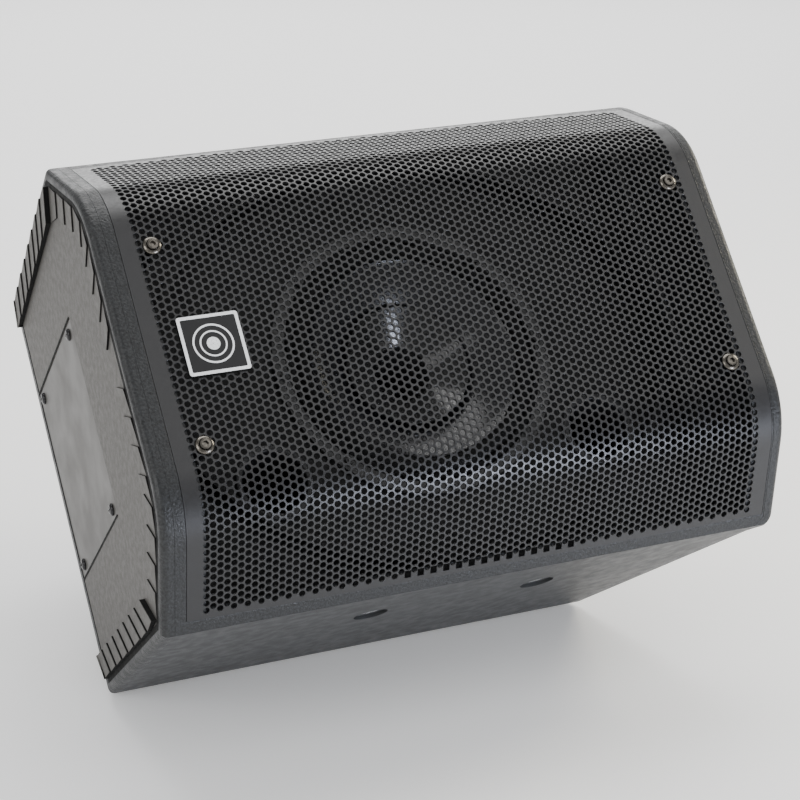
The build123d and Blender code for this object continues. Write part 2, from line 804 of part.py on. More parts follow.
with BuildPart() as fuse_drawer:
    with BuildSketch(face.offset(gap - 19)):
        with Locations((inlet[0], drawer_v)):
            Rectangle(drawer_width, drawer_height)
    extrude(amount=21)
    with BuildSketch(face.offset(gap + 2)):
        with Locations((inlet[0], drawer_v)):
            Rectangle(8, 6)
    extrude(amount=1.2)
save(fuse_drawer.part, "fuse_drawer")

rocker_tilt = 8.0
with BuildPart() as switch_frame:
    with BuildSketch(face.offset(gap)):
        with Locations(switch):
            RectangleRounded(25, 32, 2)
            Rectangle(rocker_width, rocker_height, mode=Mode.SUBTRACT)
    extrude(amount=2)
    with BuildSketch(face.offset(gap)):
        with Locations(switch):
            Rectangle(switch_width, switch_height)
            Rectangle(rocker_width, rocker_height, mode=Mode.SUBTRACT)
    extrude(amount=-18)
    with BuildSketch(face.offset(-17.8)):
        with Locations(switch):
            Rectangle(switch_width, switch_height)
    extrude(amount=2)
save(switch_frame.part, "switch_frame")

pivot = face.origin + face.x_dir * switch[0] + face.y_dir * switch[1] - face.z_dir * 3
rocker_plane = Plane(
    pivot + face.x_dir * 8.6,
    x_dir=face.y_dir.rotate(Axis((0, 0, 0), face.x_dir), rocker_tilt),
    z_dir=-face.x_dir,
)
with BuildPart() as power_rocker:
    with BuildSketch(rocker_plane):
        with BuildLine():
            Polyline(
                (-11.2, -6), (0, -4), (11.2, -6), (11.2, 0), (4, 5), (-4, 5), close=True
            )
        make_face()
    extrude(amount=17.2)
save(power_rocker.part, "power_rocker")

for name, u in jacks.items():
    with BuildPart() as jack:
        with BuildSketch(face.offset(gap)):
            with Locations((u, jack_height)):
                RectangleRounded(26, 31, 3)
        extrude(amount=1.6)
        with BuildSketch(face.offset(gap)):
            with Locations((u, jack_height)):
                Circle(jack_radius)
        extrude(amount=-24)
        with BuildSketch(face.offset(3)):
            with Locations((u, jack_height)):
                Circle(well_radius)
        extrude(amount=-21, mode=Mode.SUBTRACT)
        with BuildSketch(face.offset(3)):
            with Locations((u, jack_height)):
                with PolarLocations(5, 3, start_angle=90):
                    Circle(1.3)
        extrude(amount=-25, mode=Mode.SUBTRACT)
        with BuildSketch(face.offset(3)):
            with Locations((u, jack_height + 11.4)):
                Rectangle(latch_width + 3 * gap, 5.2)
        extrude(amount=-16, mode=Mode.SUBTRACT)
    save(jack.part, name)

for name in ("combo_jack_1", "combo_jack_2"):
    with BuildPart() as latch:
        with BuildSketch(face.offset(-10)):
            with Locations((jacks[name], jack_height + 11.6)):
                Rectangle(latch_width, latch_thickness)
        extrude(amount=13.4)
    save(latch.part, name.replace("jack", "latch"))

for name, u in knobs.items():
    with BuildPart() as knob:
        with BuildSketch(face.offset(knob_base)):
            with Locations((u, knob_height)):
                Circle(knob_radius)
        extrude(amount=13, taper=4)
        with BuildSketch(face.offset(15)):
            with Locations((u, knob_height)):
                Circle(knob_radius - 1)
        extrude(amount=1, taper=40)
        with BuildSketch(face.offset(16)):
            with Locations((u, knob_height + 4.5)):
                Rectangle(1.2, 5)
        extrude(amount=-1.8, mode=Mode.SUBTRACT)
        with BuildSketch(face.offset(knob_base)):
            with Locations((u, knob_height)):
                Circle(shaft_radius)
        extrude(amount=-8)
    save(knob.part, name)

with BuildPart() as potentiometers:
    with BuildSketch(face.offset(-panel_sheet - gap)):
        with Locations(*[(u, knob_height) for u in knobs.values()]):
            Rectangle(17, 19)
            Circle(shaft_radius + 0.06, mode=Mode.SUBTRACT)
    extrude(amount=-8)
save(potentiometers.part, "potentiometers")

for name, u in buttons.items():
    with BuildPart() as button:
        with BuildSketch(face.offset(2.6)):
            with Locations((u, button_height)):
                Rectangle(button_size, button_size)
        extrude(amount=-7)
        fillet(button.faces().sort_by(Axis(face.origin, face.z_dir))[-1].edges(), 0.6)
    save(button.part, name)

with BuildPart() as panel_lamps:
    with BuildSketch(face.offset(0.8)):
        with Locations(*[(u, lamp_height) for u in lamps]):
            Circle(lamp_radius)
    extrude(amount=-8)
save(panel_lamps.part, "panel_lamps")

board_level, board_sheet = 32.0, 1.6  # how far behind the panel the boards stand
with BuildPart() as amp_board:
    with BuildSketch(face.offset(-board_level)):
        with Locations((22, 4)):
            Rectangle(176, 108)
    extrude(amount=-board_sheet)
    with BuildSketch(face.offset(-board_level - board_sheet)):
        with Locations((60, 20)):
            with GridLocations(16, 30, 3, 2):
                Circle(6)
        with Locations((-20, 10)):
            Rectangle(40, 26)
    extrude(amount=-14)
save(amp_board.part, "amp_board")

with BuildPart() as power_supply:
    with BuildSketch(face.offset(-board_level)):
        with Locations((-92, 4)):
            Rectangle(44, 108)
    extrude(amount=-board_sheet)
    with BuildSketch(face.offset(-board_level - board_sheet)):
        with Locations((-92, 24)):
            Rectangle(34, 38)
        with Locations((-92, -26)):
            with GridLocations(20, 26, 2, 2):
                Circle(8)
    extrude(amount=-24)
save(power_supply.part, "power_supply")

with BuildPart() as board_spacers:
    with BuildSketch(face.offset(-panel_sheet - gap)):
        with Locations(
            (-110, 52), (-74, 52), (-110, -8), (-74, -8),
            (-56, 52), (-56, -46), (104, 52), (104, -46),
        ):
            Circle(3)
    extrude(amount=-(board_level - panel_sheet - 2 * gap))
save(board_spacers.part, "board_spacers")

foam_length, foam_height, foam_thickness = 96.0, 180.0, 18.0
with BuildPart() as damping_foam:
    with BuildSketch(section.offset(bottom_end_x + cap + gap)):
        with Locations((cover_depth, 0)):
            Rectangle(foam_length, foam_height)
    extrude(amount=foam_thickness)
save(damping_foam.part, "damping_foam")
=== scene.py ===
"""Looks of the stage monitor wedge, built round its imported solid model.

Local frames, all in metres. FRONT: x along the cabinet, y up the front, z out of the grille.
END: x into the cabinet, y up the front, z along the cabinet, from its bottom end inwards.
HANDLE: y up the front, z out of the sloping top end. REAR: y up the front, z out of the back.
"""

import math

import bmesh
import bpy
import numpy as np
from bpy.props import FloatProperty, FloatVectorProperty, IntProperty, PointerProperty
from mathutils import Matrix, Vector


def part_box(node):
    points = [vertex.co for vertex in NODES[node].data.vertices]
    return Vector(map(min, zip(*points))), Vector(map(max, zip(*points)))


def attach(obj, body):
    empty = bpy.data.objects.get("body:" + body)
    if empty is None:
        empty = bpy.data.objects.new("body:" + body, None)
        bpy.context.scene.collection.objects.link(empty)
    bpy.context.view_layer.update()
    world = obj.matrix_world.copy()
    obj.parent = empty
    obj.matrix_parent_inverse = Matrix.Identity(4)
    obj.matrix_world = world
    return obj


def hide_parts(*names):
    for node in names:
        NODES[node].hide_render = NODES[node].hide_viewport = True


bl_info = {
    "name": "Stage monitor wedge",
    "version": (1, 0, 0),
    "blender": (4, 5, 0),
    "location": "View3D > Sidebar > Wedge",
    "description": "Builds the visible pieces of a stage monitor wedge round its solid model",
    "category": "Object",
}

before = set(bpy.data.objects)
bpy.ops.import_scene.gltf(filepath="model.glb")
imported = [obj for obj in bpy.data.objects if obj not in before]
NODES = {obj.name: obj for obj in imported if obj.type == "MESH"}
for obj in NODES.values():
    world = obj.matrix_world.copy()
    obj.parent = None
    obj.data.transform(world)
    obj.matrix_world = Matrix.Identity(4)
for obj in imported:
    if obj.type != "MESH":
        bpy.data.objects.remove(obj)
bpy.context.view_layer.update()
MM = 0.001

# ------------------------------------------------------------------ local frames
WEDGE_ANGLE = math.radians(44)
TOP_SLOPE = math.radians(22)
ALONG = Vector((1, 0, 0))
INTO = Vector((0, math.cos(WEDGE_ANGLE), -math.sin(WEDGE_ANGLE)))
UP_FRONT = Vector((0, math.sin(WEDGE_ANGLE), math.cos(WEDGE_ANGLE)))
TOP_PLATE_DEPTH = 144 * MM  # the middle of the driver's top plate, behind the front face
DRIVER_X = 5 * MM


def axes_matrix(origin, x_axis, y_axis):
    """Matrix of a local frame from its origin and two of its axes."""
    z_axis = x_axis.cross(y_axis)
    matrix = Matrix((x_axis, y_axis, z_axis)).transposed().to_4x4()
    matrix.translation = origin
    return matrix


def middle_of(node):
    low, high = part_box(node)
    return (low + high) / 2


DRIVER_FRONT = middle_of("driver_top_plate") - INTO * TOP_PLATE_DEPTH
FACE_MIDDLE = DRIVER_FRONT - ALONG * DRIVER_X
END_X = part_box("bottom_end_cap")[0].x
FRONT = axes_matrix(FACE_MIDDLE, ALONG, UP_FRONT)
DRIVER = axes_matrix(DRIVER_FRONT, ALONG, UP_FRONT)
END_MIDDLE = FACE_MIDDLE + ALONG * (END_X - FACE_MIDDLE.x)
END = axes_matrix(END_MIDDLE, INTO, UP_FRONT)
END_OUT = axes_matrix(END_MIDDLE, -INTO, UP_FRONT)
PANEL_X, PANEL_DEPTH = -40 * MM, 325.53 * MM
REAR = axes_matrix(
    FACE_MIDDLE + ALONG * (PANEL_X - FACE_MIDDLE.x) + INTO * PANEL_DEPTH, -ALONG, UP_FRONT
)
TOP_X, TOP_START, HANDLE_RUN = 221.8 * MM, 71.2 * MM, 128 * MM
TOP_DOWN = INTO * math.cos(TOP_SLOPE) - ALONG * math.sin(TOP_SLOPE)
HANDLE = axes_matrix(
    FACE_MIDDLE + ALONG * (TOP_X - FACE_MIDDLE.x) + INTO * TOP_START + TOP_DOWN * HANDLE_RUN,
    TOP_DOWN, UP_FRONT,
)


# ------------------------------------------------------------------ sizes and colours to change
class CabinetLooks(bpy.types.PropertyGroup):
    """Casing, end panel and trim."""

    shell_color: FloatVectorProperty(
        name="Casing", description="Colour of the moulded casing",
        subtype="COLOR", size=3, min=0, max=1, default=(0.017, 0.018, 0.019),
    )
    panel_color: FloatVectorProperty(
        name="End panel", description="Colour of the stippled end panel",
        subtype="COLOR", size=3, min=0, max=1, default=(0.072, 0.068, 0.062),
    )
    edge_radius: FloatProperty(
        name="Edge radius", description="Rounding of the casing's edges",
        unit="LENGTH", min=0, max=0.01, default=1.8 * MM,
    )
    rib_pitch: FloatProperty(
        name="Rib pitch", description="Distance between grooves along the end panel's border",
        unit="LENGTH", min=0.005, max=0.06, default=20.6 * MM,
    )
    groove_width: FloatProperty(
        name="Groove width", description="Width of the grooves between ribs",
        unit="LENGTH", min=0.0002, max=0.005, default=1.3 * MM,
    )


class GrilleLooks(bpy.types.PropertyGroup):
    """Perforated sheet."""

    hole_pitch: FloatProperty(
        name="Hole pitch", description="Distance between neighbouring holes",
        unit="LENGTH", min=0.002, max=0.02, default=5.5 * MM,
    )
    hole_diameter: FloatProperty(
        name="Hole diameter", description="Diameter of each punched hole",
        unit="LENGTH", min=0.001, max=0.02, default=4.45 * MM,
    )
    columns: IntProperty(
        name="Columns", description="Columns of holes along the cabinet",
        min=2, max=200, default=87,
    )
    rows: IntProperty(
        name="Rows", description="Holes in each column", min=2, max=200, default=69,
    )
    crown: FloatProperty(
        name="Crown", description="How far the middle of the sheet bows out",
        unit="LENGTH", min=0, max=0.01, default=1.6 * MM,
    )
    color: FloatVectorProperty(
        name="Powder coat", description="Colour of the powder coat",
        subtype="COLOR", size=3, min=0, max=1, default=(0.017, 0.017, 0.018),
    )


class DriverLooks(bpy.types.PropertyGroup):
    """Coaxial driver behind the grille."""

    cone_color: FloatVectorProperty(
        name="Cone", description="Colour of the cone",
        subtype="COLOR", size=3, min=0, max=1, default=(0.012, 0.012, 0.014),
    )
    cone_gloss: FloatProperty(
        name="Cone roughness", description="Roughness of the cone's skin",
        subtype="FACTOR", min=0, max=1, default=0.22,
    )


class StageLooks(bpy.types.PropertyGroup):
    """Camera, floor and lights."""

    azimuth: FloatProperty(
        name="Azimuth", description="Direction that the camera looks from",
        subtype="ANGLE", default=math.radians(-23.44),
    )
    elevation: FloatProperty(
        name="Elevation", description="Height of the camera's line of sight",
        subtype="ANGLE", default=math.radians(22.15),
    )
    roll: FloatProperty(
        name="Roll", description="Turn of the camera about its line of sight",
        subtype="ANGLE", default=math.radians(0.42),
    )
    distance: FloatProperty(
        name="Distance", description="Camera to the middle of the cabinet",
        unit="LENGTH", min=0.2, max=20, default=1.6803,
    )
    aim: FloatVectorProperty(
        name="Aim", description="Point that the camera looks at",
        subtype="TRANSLATION", size=3, default=(12.1 * MM, -6.9 * MM, 181.5 * MM),
    )
    lens: FloatProperty(
        name="Lens", description="Focal length for a 36 mm sensor", min=10, max=300, default=101.5,
    )
    floor_color: FloatVectorProperty(
        name="Floor", description="Colour of the floor",
        subtype="COLOR", size=3, min=0, max=1, default=(0.92, 0.92, 0.92),
    )


# ------------------------------------------------------------------ materials
class Graph:
    """A tree of nodes that is put together one node at a time."""

    def __init__(self, group):
        self.group = group

    def add(self, kind, **values):
        """A new node: lower-case keywords are its settings, and the others its inputs."""
        node = self.group.nodes.new(kind)
        for label, value in values.items():
            if label.islower():
                setattr(node, label, value)
            else:
                self.set(node, label, value)
        return node

    def set(self, node, label, value):
        """Gives one input of a node a value, or joins another node's output to it."""
        target = node.inputs[label.replace("_", " ") if isinstance(label, str) else label]
        if isinstance(value, bpy.types.NodeSocket):
            self.group.links.new(value, target)
        else:
            target.default_value = value


class Finish(Graph):
    """One procedural material, put together in steps and patterned in Object coordinates."""

    def __init__(self, name, color, roughness, metallic=0.0, **sockets):
        self.material = bpy.data.materials.new(name)
        self.material.use_nodes = True
        super().__init__(self.material.node_tree)
        self.shader = self.group.nodes["Principled BSDF"]
        sockets.update(Base_Color=(*color, 1), Roughness=roughness, Metallic=metallic)
        for label, value in sockets.items():
            self.set(self.shader, label, value)
        self.place = self.add("ShaderNodeTexCoord").outputs["Object"]

    def stretched(self, *scale):
        """Object coordinates scaled unevenly, for a grain that runs one way."""
        return self.add("ShaderNodeMapping", Vector=self.place, Scale=scale).outputs["Vector"]

    def noise(self, size, detail=2.0, place=None):
        """Noise whose features are about `size` metres across."""
        texture = self.add(
            "ShaderNodeTexNoise", Vector=place or self.place, Scale=1 / size, Detail=detail
        )
        return texture.outputs["Fac"]

    def cells(self, size, feature="F1"):
        """Cell pattern with cells about `size` metres across."""
        texture = self.add(
            "ShaderNodeTexVoronoi", feature=feature, Vector=self.place, Scale=1 / size
        )
        return texture.outputs["Distance"]

    def pattern(self, size, detail=2.0, stretch=None):
        """Noise, or cells where the detail is None, `size` millimetres across."""
        if detail is None:
            return self.cells(size * MM)
        return self.noise(size * MM, detail, self.stretched(*stretch) if stretch else None)

    def mottled(self, factor, color, spread):
        """Base colour varied about `color` by a share of it."""
        ramp = self.add("ShaderNodeValToRGB", Fac=factor)
        stops = zip(ramp.color_ramp.elements, (0.32, 0.68), (1 - spread, 1 + spread))
        for element, position, share in stops:
            element.position = position
            element.color = (*(min(1, c * share) for c in color), 1)
        self.set(self.shader, "Base Color", ramp.outputs["Color"])

    def rough(self, factor, low, high):
        """Roughness that follows the middle of the factor's range from low to high."""
        spread = self.add(
            "ShaderNodeMapRange", Value=factor, From_Min=0.35, From_Max=0.65,
            To_Min=low, To_Max=high,
        )
        self.set(self.shader, "Roughness", spread.outputs["Result"])

    def bumped(self, height, distance, strength=1.0):
        """Bump of `distance` metres, added over any that is there."""
        bump = self.add("ShaderNodeBump", Height=height, Distance=distance, Strength=strength)
        normal = self.shader.inputs["Normal"]
        if normal.is_linked:
            self.set(bump, "Normal", normal.links[0].from_socket)
        self.set(self.shader, "Normal", bump.outputs["Normal"])
        return self


FINISHES = {}


def finish(make):
    """Keeps each finish as one material, made the first time that it is asked for."""

    def asked(*values):
        if make.__name__ not in FINISHES:
            FINISHES[make.__name__] = make(*values).material
        return FINISHES[make.__name__]

    return asked


@finish
def textured_casing():
    color = bpy.context.scene.wedge_cabinet.shell_color
    made = Finish("textured_casing", color, 0.5, Specular_IOR_Level=0.4)
    made.mottled(made.noise(1.6 * MM, 3), color, 0.6)
    made.rough(made.noise(6 * MM), 0.36, 0.5)
    made.bumped(made.noise(1.7 * MM, 2), 0.5 * MM, 0.9)
    return made.bumped(made.noise(40 * MM, 2), 0.25 * MM, 0.3)


@finish
def smooth_casing():
    color = bpy.context.scene.wedge_cabinet.shell_color
    made = Finish("smooth_casing", color, 0.46, Specular_IOR_Level=0.5)
    made.mottled(made.noise(22 * MM, 4), [c * 1.25 for c in color], 0.22)
    made.rough(made.noise(9 * MM, 3), 0.42, 0.55)
    made.bumped(made.noise(0.7 * MM, 2), 0.07 * MM, 0.7)
    return made.bumped(made.noise(15 * MM, 2), 0.22 * MM, 0.3)


@finish
def stippled_panel():
    color = bpy.context.scene.wedge_cabinet.panel_color
    made = Finish("stippled_panel", color, 0.55, Specular_IOR_Level=0.45)
    made.mottled(made.noise(1.3 * MM, 2), color, 0.16)
    made.rough(made.noise(5 * MM), 0.5, 0.62)
    made.bumped(made.cells(0.9 * MM, "SMOOTH_F1"), 0.14 * MM, 0.6)
    return made.bumped(made.noise(1.4 * MM, 2), 0.16 * MM, 0.7)


@finish
def smooth_panel():
    color = [c * 0.86 for c in bpy.context.scene.wedge_cabinet.panel_color]
    made = Finish("smooth_panel", color, 0.42)
    made.mottled(made.noise(0.6 * MM, 2), color, 0.08)
    made.rough(made.noise(30 * MM, 3), 0.38, 0.5)
    return made.bumped(made.noise(0.6 * MM, 1), 0.04 * MM, 0.5)


@finish
def powder_coat():
    color = bpy.context.scene.wedge_grille.color
    made = Finish("powder_coat", color, 0.34, Specular_IOR_Level=0.5)
    made.mottled(made.noise(0.8 * MM), color, 0.15)
    made.rough(made.noise(2.5 * MM, 2), 0.3, 0.42)
    return made.bumped(made.noise(0.9 * MM, 2), 0.05 * MM, 0.6)


@finish
def glossy_cone():
    looks = bpy.context.scene.wedge_driver
    made = Finish("glossy_cone", looks.cone_color, looks.cone_gloss, Coat_Weight=0.3)
    made.mottled(made.noise(2 * MM, 5), looks.cone_color, 0.4)
    made.rough(made.noise(14 * MM, 3), looks.cone_gloss * 0.85, looks.cone_gloss * 1.3)
    return made.bumped(made.noise(1.8 * MM, 4), 0.05 * MM, 0.4)


# Colour, roughness, metallic and other sockets, then the patterns, each after its own numbers:
# mottling (spread), roughness (low, high) and bump (depth in millimetres, strength).
# A pattern is its size in millimetres, its detail (None for cells) and its stretch.
COATS = {
    "nickel_plate": (
        (0.13, 0.12, 0.105), 0.24, 1.0, {}, (0.3, 1.5, 3), (0.18, 0.34, 0.8, 3), (0.02, 0.5, 0.4),
    ),
    "black_oxide": (
        (0.006, 0.006, 0.007), 0.18, 0.0, {"Specular_IOR_Level": 0.4},
        (0.3, 0.7), (0.14, 0.26, 0.8), (0.02, 0.4, 0.5),
    ),
    "badge_gloss": (
        (0.004, 0.004, 0.005), 0.12, 0.0, {"Specular_IOR_Level": 0.3},
        (0.2, 4), (0.09, 0.2, 8), (0.03, 0.3, 12),
    ),
    "badge_silver": (
        (0.84, 0.85, 0.86), 0.3, 0.35, {}, (0.05, 2), (0.25, 0.4, 1.2), (0.02, 0.5, 0.6),
    ),
    "painted_baffle": (
        (0.004, 0.004, 0.004), 0.55, 0.0, {"Specular_IOR_Level": 0.25},
        (0.4, 3, 4), (0.35, 0.6, 12), (0.18, 0.5, 5, 4, (0.2, 1, 1)),
    ),
    "moulded_black": (
        (0.014, 0.014, 0.015), 0.42, 0.0, {}, (0.25, 3), (0.36, 0.5, 4), (0.04, 0.6, 0.5),
    ),
    "soft_touch": (
        (0.022, 0.022, 0.024), 0.62, 0.0, {}, (0.25, 1.5), (0.55, 0.7, 2), (0.04, 0.7, 0.35),
    ),
    "black_rubber": (
        (0.005, 0.005, 0.005), 0.75, 0.0, {"Specular_IOR_Level": 0.2},
        (0.35, 1.2, 3), (0.66, 0.82, 5), (0.06, 0.7, 0.5, 3),
    ),
    "horn_black": (
        (0.016, 0.016, 0.016), 0.16, 0.0, {"Coat_Weight": 0.5},
        (0.25, 6), (0.12, 0.24, 7), (0.02, 0.4, 3),
    ),
    "basket_paint": (
        (0.02, 0.02, 0.02), 0.3, 0.0, {}, (0.3, 2), (0.25, 0.42, 5), (0.05, 0.6, 1.2),
    ),
    "zinc_plate": (
        (0.55, 0.56, 0.57), 0.34, 1.0, {}, (0.14, 5, 4), (0.26, 0.46, 1.5, 4), (0.03, 0.5, 0.8, 3),
    ),
    "fired_ferrite": (
        (0.06, 0.06, 0.062), 0.7, 0.0, {}, (0.4, 1, 4), (0.6, 0.8, 3), (0.12, 0.7, 0.9, 4),
    ),
    "copper_wire": (
        (0.72, 0.3, 0.14), 0.3, 1.0, {}, (0.15, 1), None, (0.05, 0.8, 0.5, 1, (0.1, 1, 1)),
    ),
    "woven_spider": (
        (0.36, 0.22, 0.09), 0.8, 0.0, {"Sheen_Weight": 0.2}, (0.3, 0.8, 3), None,
        (0.15, 0.8, 0.7, None),
    ),
    "panel_paint": (
        (0.016, 0.016, 0.018), 0.5, 0.0, {}, (0.25, 1), (0.42, 0.58, 3), (0.08, 0.7, 0.6),
    ),
    "black_anodised": (
        (0.03, 0.03, 0.033), 0.36, 0.8, {}, (0.25, 1, 3, (1, 0.1, 0.1)), (0.3, 0.44, 2),
        (0.04, 0.7, 0.6, 3, (1, 0.06, 0.06)),
    ),
    "printed_white": ((0.68, 0.68, 0.68), 0.55, 0.0, {}, (0.06, 0.8), None, (0.02, 0.5, 0.6)),
    "lamp_lens": (
        (0.10, 0.42, 0.12), 0.25, 0.0, {"Coat_Weight": 0.5}, (0.15, 1), None, (0.03, 0.5, 0.7),
    ),
    "solder_mask": (
        (0.02, 0.13, 0.05), 0.35, 0.0, {}, (0.4, 3, None), (0.28, 0.45, 2), (0.06, 0.5, 2.5, None),
    ),
    "turned_brass": (
        (0.72, 0.5, 0.2), 0.28, 1.0, {}, (0.12, 1.5, 3), (0.2, 0.4, 0.7, 3), None,
    ),
    "open_foam": (
        (0.09, 0.09, 0.095), 0.95, 0.0, {"Sheen_Weight": 0.3}, (0.5, 1.4, None), None,
        (0.8, 0.9, 1.4, None),
    ),
}


def coat(name):
    """The material of one row of the table, made the first time that it is asked for."""
    if name not in FINISHES:
        color, roughness, metallic, sockets, mottling, wear, relief = COATS[name]
        made = Finish(name, color, roughness, metallic, **sockets)
        spread, *pattern = mottling
        made.mottled(made.pattern(*pattern), color, spread)
        if wear:
            low, high, *pattern = wear
            made.rough(made.pattern(*pattern), low, high)
        if relief:
            depth, strength, *pattern = relief
            made.bumped(made.pattern(*pattern), depth * MM, strength)
        FINISHES[name] = made.material
    return FINISHES[name]


NODE_FINISHES = {
    "driver_top_plate": "zinc_plate", "driver_pole_yoke": "zinc_plate",
    "driver_magnet": "fired_ferrite", "voice_coil": "copper_wire",
    "driver_spider": "woven_spider", "driver_gasket": "black_rubber",
    "driver_basket": "basket_paint", "hf_driver": "moulded_black",
    "hf_diaphragm": "zinc_plate", "driver_screws": "black_oxide",
    "grille_posts": "basket_paint", "potentiometers": "moulded_black",
    "panel_lamps": "lamp_lens", "amp_board": "solder_mask",
    "power_supply": "solder_mask", "board_spacers": "turned_brass",
    "damping_foam": "open_foam", "combo_latch_1": "zinc_plate", "combo_latch_2": "zinc_plate",
}


# ------------------------------------------------------------------ making pieces
def link_object(name, mesh):
    piece = bpy.data.objects.new(name, mesh)
    bpy.context.scene.collection.objects.link(piece)
    return piece


def mesh_from(shape, name, matrix=None):
    """Turns a bmesh into a mesh in the row frame, and frees it."""
    mesh = bpy.data.meshes.new(name)
    shape.to_mesh(mesh)
    shape.free()
    if matrix is not None:
        mesh.transform(matrix)
    return mesh


def plain(piece):
    """Turns what the modifiers make into the piece's own mesh."""
    graph = bpy.context.evaluated_depsgraph_get()
    mesh = bpy.data.meshes.new_from_object(piece.evaluated_get(graph))
    piece.modifiers.clear()
    piece.data = mesh
    return mesh


def settle(piece, smooth_angle=math.radians(32)):
    """Applies every modifier, and shades the mesh smooth up to an angle."""
    mesh = plain(piece)
    mesh.shade_smooth()
    mesh.set_sharp_from_angle(angle=smooth_angle)


def paint(piece, material):
    piece.data.materials.clear()
    piece.data.materials.append(material)


def place(piece, slot, replaced=(), body="cabinet"):
    """Rides a finished piece on its body, and hides the nodes that it stands for; its slot is not
    used.
    """
    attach(piece, body)
    if replaced:
        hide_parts(*replaced)
    return piece


def round_edges(piece, width, segments=2):
    """Rounds every sharp edge of a piece by its own share of `width`; flats stay flat."""
    piece.data.shade_smooth()
    bevel = piece.modifiers.new("Edges", "BEVEL")
    bevel.width = width
    bevel.segments = segments
    bevel.limit_method = "WEIGHT"
    bevel.use_clamp_overlap = True
    piece.modifiers.new("Flat faces", "WEIGHTED_NORMAL")
    plain(piece)


SQUARE_TURN, BLUNT_TURN = math.radians(68), math.radians(24)


def weigh_edges(shape, seam_share):
    """Blunt corners get the whole rounding, and square ones, as at seams, a share of it."""
    weights = shape.edges.layers.float.new("bevel_weight_edge")
    for edge in shape.edges:
        turn = edge.calc_face_angle(0)
        if turn > SQUARE_TURN:
            edge[weights] = seam_share
        elif turn > BLUNT_TURN:
            edge[weights] = 1.0


def merged_copy(node):
    """A bmesh of a CAD node, with its loose triangles joined into whole faces."""
    shape = bmesh.new()
    shape.from_mesh(NODES[node].data)
    bmesh.ops.remove_doubles(shape, verts=shape.verts, dist=0.004 * MM)
    bmesh.ops.dissolve_limit(
        shape, angle_limit=math.radians(0.6), verts=shape.verts, edges=shape.edges
    )
    return shape


def softened(node, name, material, width, slot, body="cabinet", segments=2, seam_share=1.0):
    """A copy of a CAD node with rounded edges, which stands for it."""
    shape = merged_copy(node)
    weigh_edges(shape, seam_share)
    piece = link_object(name, mesh_from(shape, name))
    paint(piece, material)
    round_edges(piece, width, segments)
    return place(piece, slot, [node], body)


def piece_of(name, shape, matrix, material, slot, replaced=(), body="cabinet"):
    """A finished piece from a bmesh that is drawn in a local frame."""
    bmesh.ops.recalc_face_normals(shape, faces=shape.faces)
    piece = link_object(name, mesh_from(shape, name, matrix))
    paint(piece, material)
    settle(piece)
    return place(piece, slot, replaced, body)


def close_rows(shape, rows):
    """Faces between each closed loop of vertices and the next."""
    for low, high in zip(rows, rows[1:]):
        for i in range(len(low)):
            j = (i + 1) % len(low)
            shape.faces.new((low[i], low[j], high[j], high[i]))


def spun(points, name, matrix, steps=96):
    """Closed ring turned about a local z axis from (radius, height) points in millimetres."""
    shape = bmesh.new()
    loops = []
    for step in range(steps):
        turn = 2 * math.pi * step / steps
        loops.append([
            shape.verts.new((r * MM * math.cos(turn), r * MM * math.sin(turn), h * MM))
            for r, h in points
        ])
    close_rows(shape, loops + loops[:1])
    bmesh.ops.remove_doubles(shape, verts=shape.verts, dist=0.001 * MM)
    bmesh.ops.dissolve_degenerate(shape, edges=shape.edges, dist=0.001 * MM)
    bmesh.ops.recalc_face_normals(shape, faces=shape.faces)
    return mesh_from(shape, name, matrix)


def prism(outline, low, high):
    """A bmesh of a straight-sided solid, from a counter-clockwise outline and two heights."""
    shape = bmesh.new()
    bottom, top = [[shape.verts.new((x, y, z)) for x, y in outline] for z in (low, high)]
    shape.faces.new(list(reversed(bottom)))
    shape.faces.new(top)
    close_rows(shape, (bottom, top))
    return shape


def rectangle(left, right, low, high):
    """Counter-clockwise corners in metres of a rectangle given in millimetres."""
    return [(x * MM, y * MM) for x, y in ((left, low), (right, low), (right, high), (left, high))]


def rounded_square(half, radius, steps=5):
    """Counter-clockwise outline of a square with round corners."""
    points = []
    for corner in range(4):
        middle = math.pi / 4 + corner * math.pi / 2
        cx = (half - radius) * math.copysign(1, math.cos(middle))
        cy = (half - radius) * math.copysign(1, math.sin(middle))
        for step in range(steps + 1):
            turn = corner * math.pi / 2 + step / steps * math.pi / 2
            points.append((cx + radius * math.cos(turn), cy + radius * math.sin(turn)))
    return points


def circle_points(radius, steps):
    turns = [2 * math.pi * i / steps for i in range(steps)]
    return [(radius * math.cos(turn), radius * math.sin(turn)) for turn in turns]


def band_faces(shape, outer, inner):
    """Triangles between two closed loops of vertices, both counter-clockwise about the middle."""
    i = j = 0
    around = 2 * math.pi

    def turn_of(loop, k):
        vertex = loop[k % len(loop)].co
        first = loop[0].co
        start = math.atan2(first.y, first.x)
        turn = (math.atan2(vertex.y, vertex.x) - start) % around
        return start + turn + (around if k >= len(loop) else 0)

    while i < len(outer) or j < len(inner):
        next_outer = turn_of(outer, i + 1) if i < len(outer) else math.inf
        next_inner = turn_of(inner, j + 1) if j < len(inner) else math.inf
        here, there = outer[i % len(outer)], inner[j % len(inner)]
        if next_outer <= next_inner:
            i += 1
            shape.faces.new((there, here, outer[i % len(outer)]))
        else:
            j += 1
            shape.faces.new((there, here, inner[j % len(inner)]))


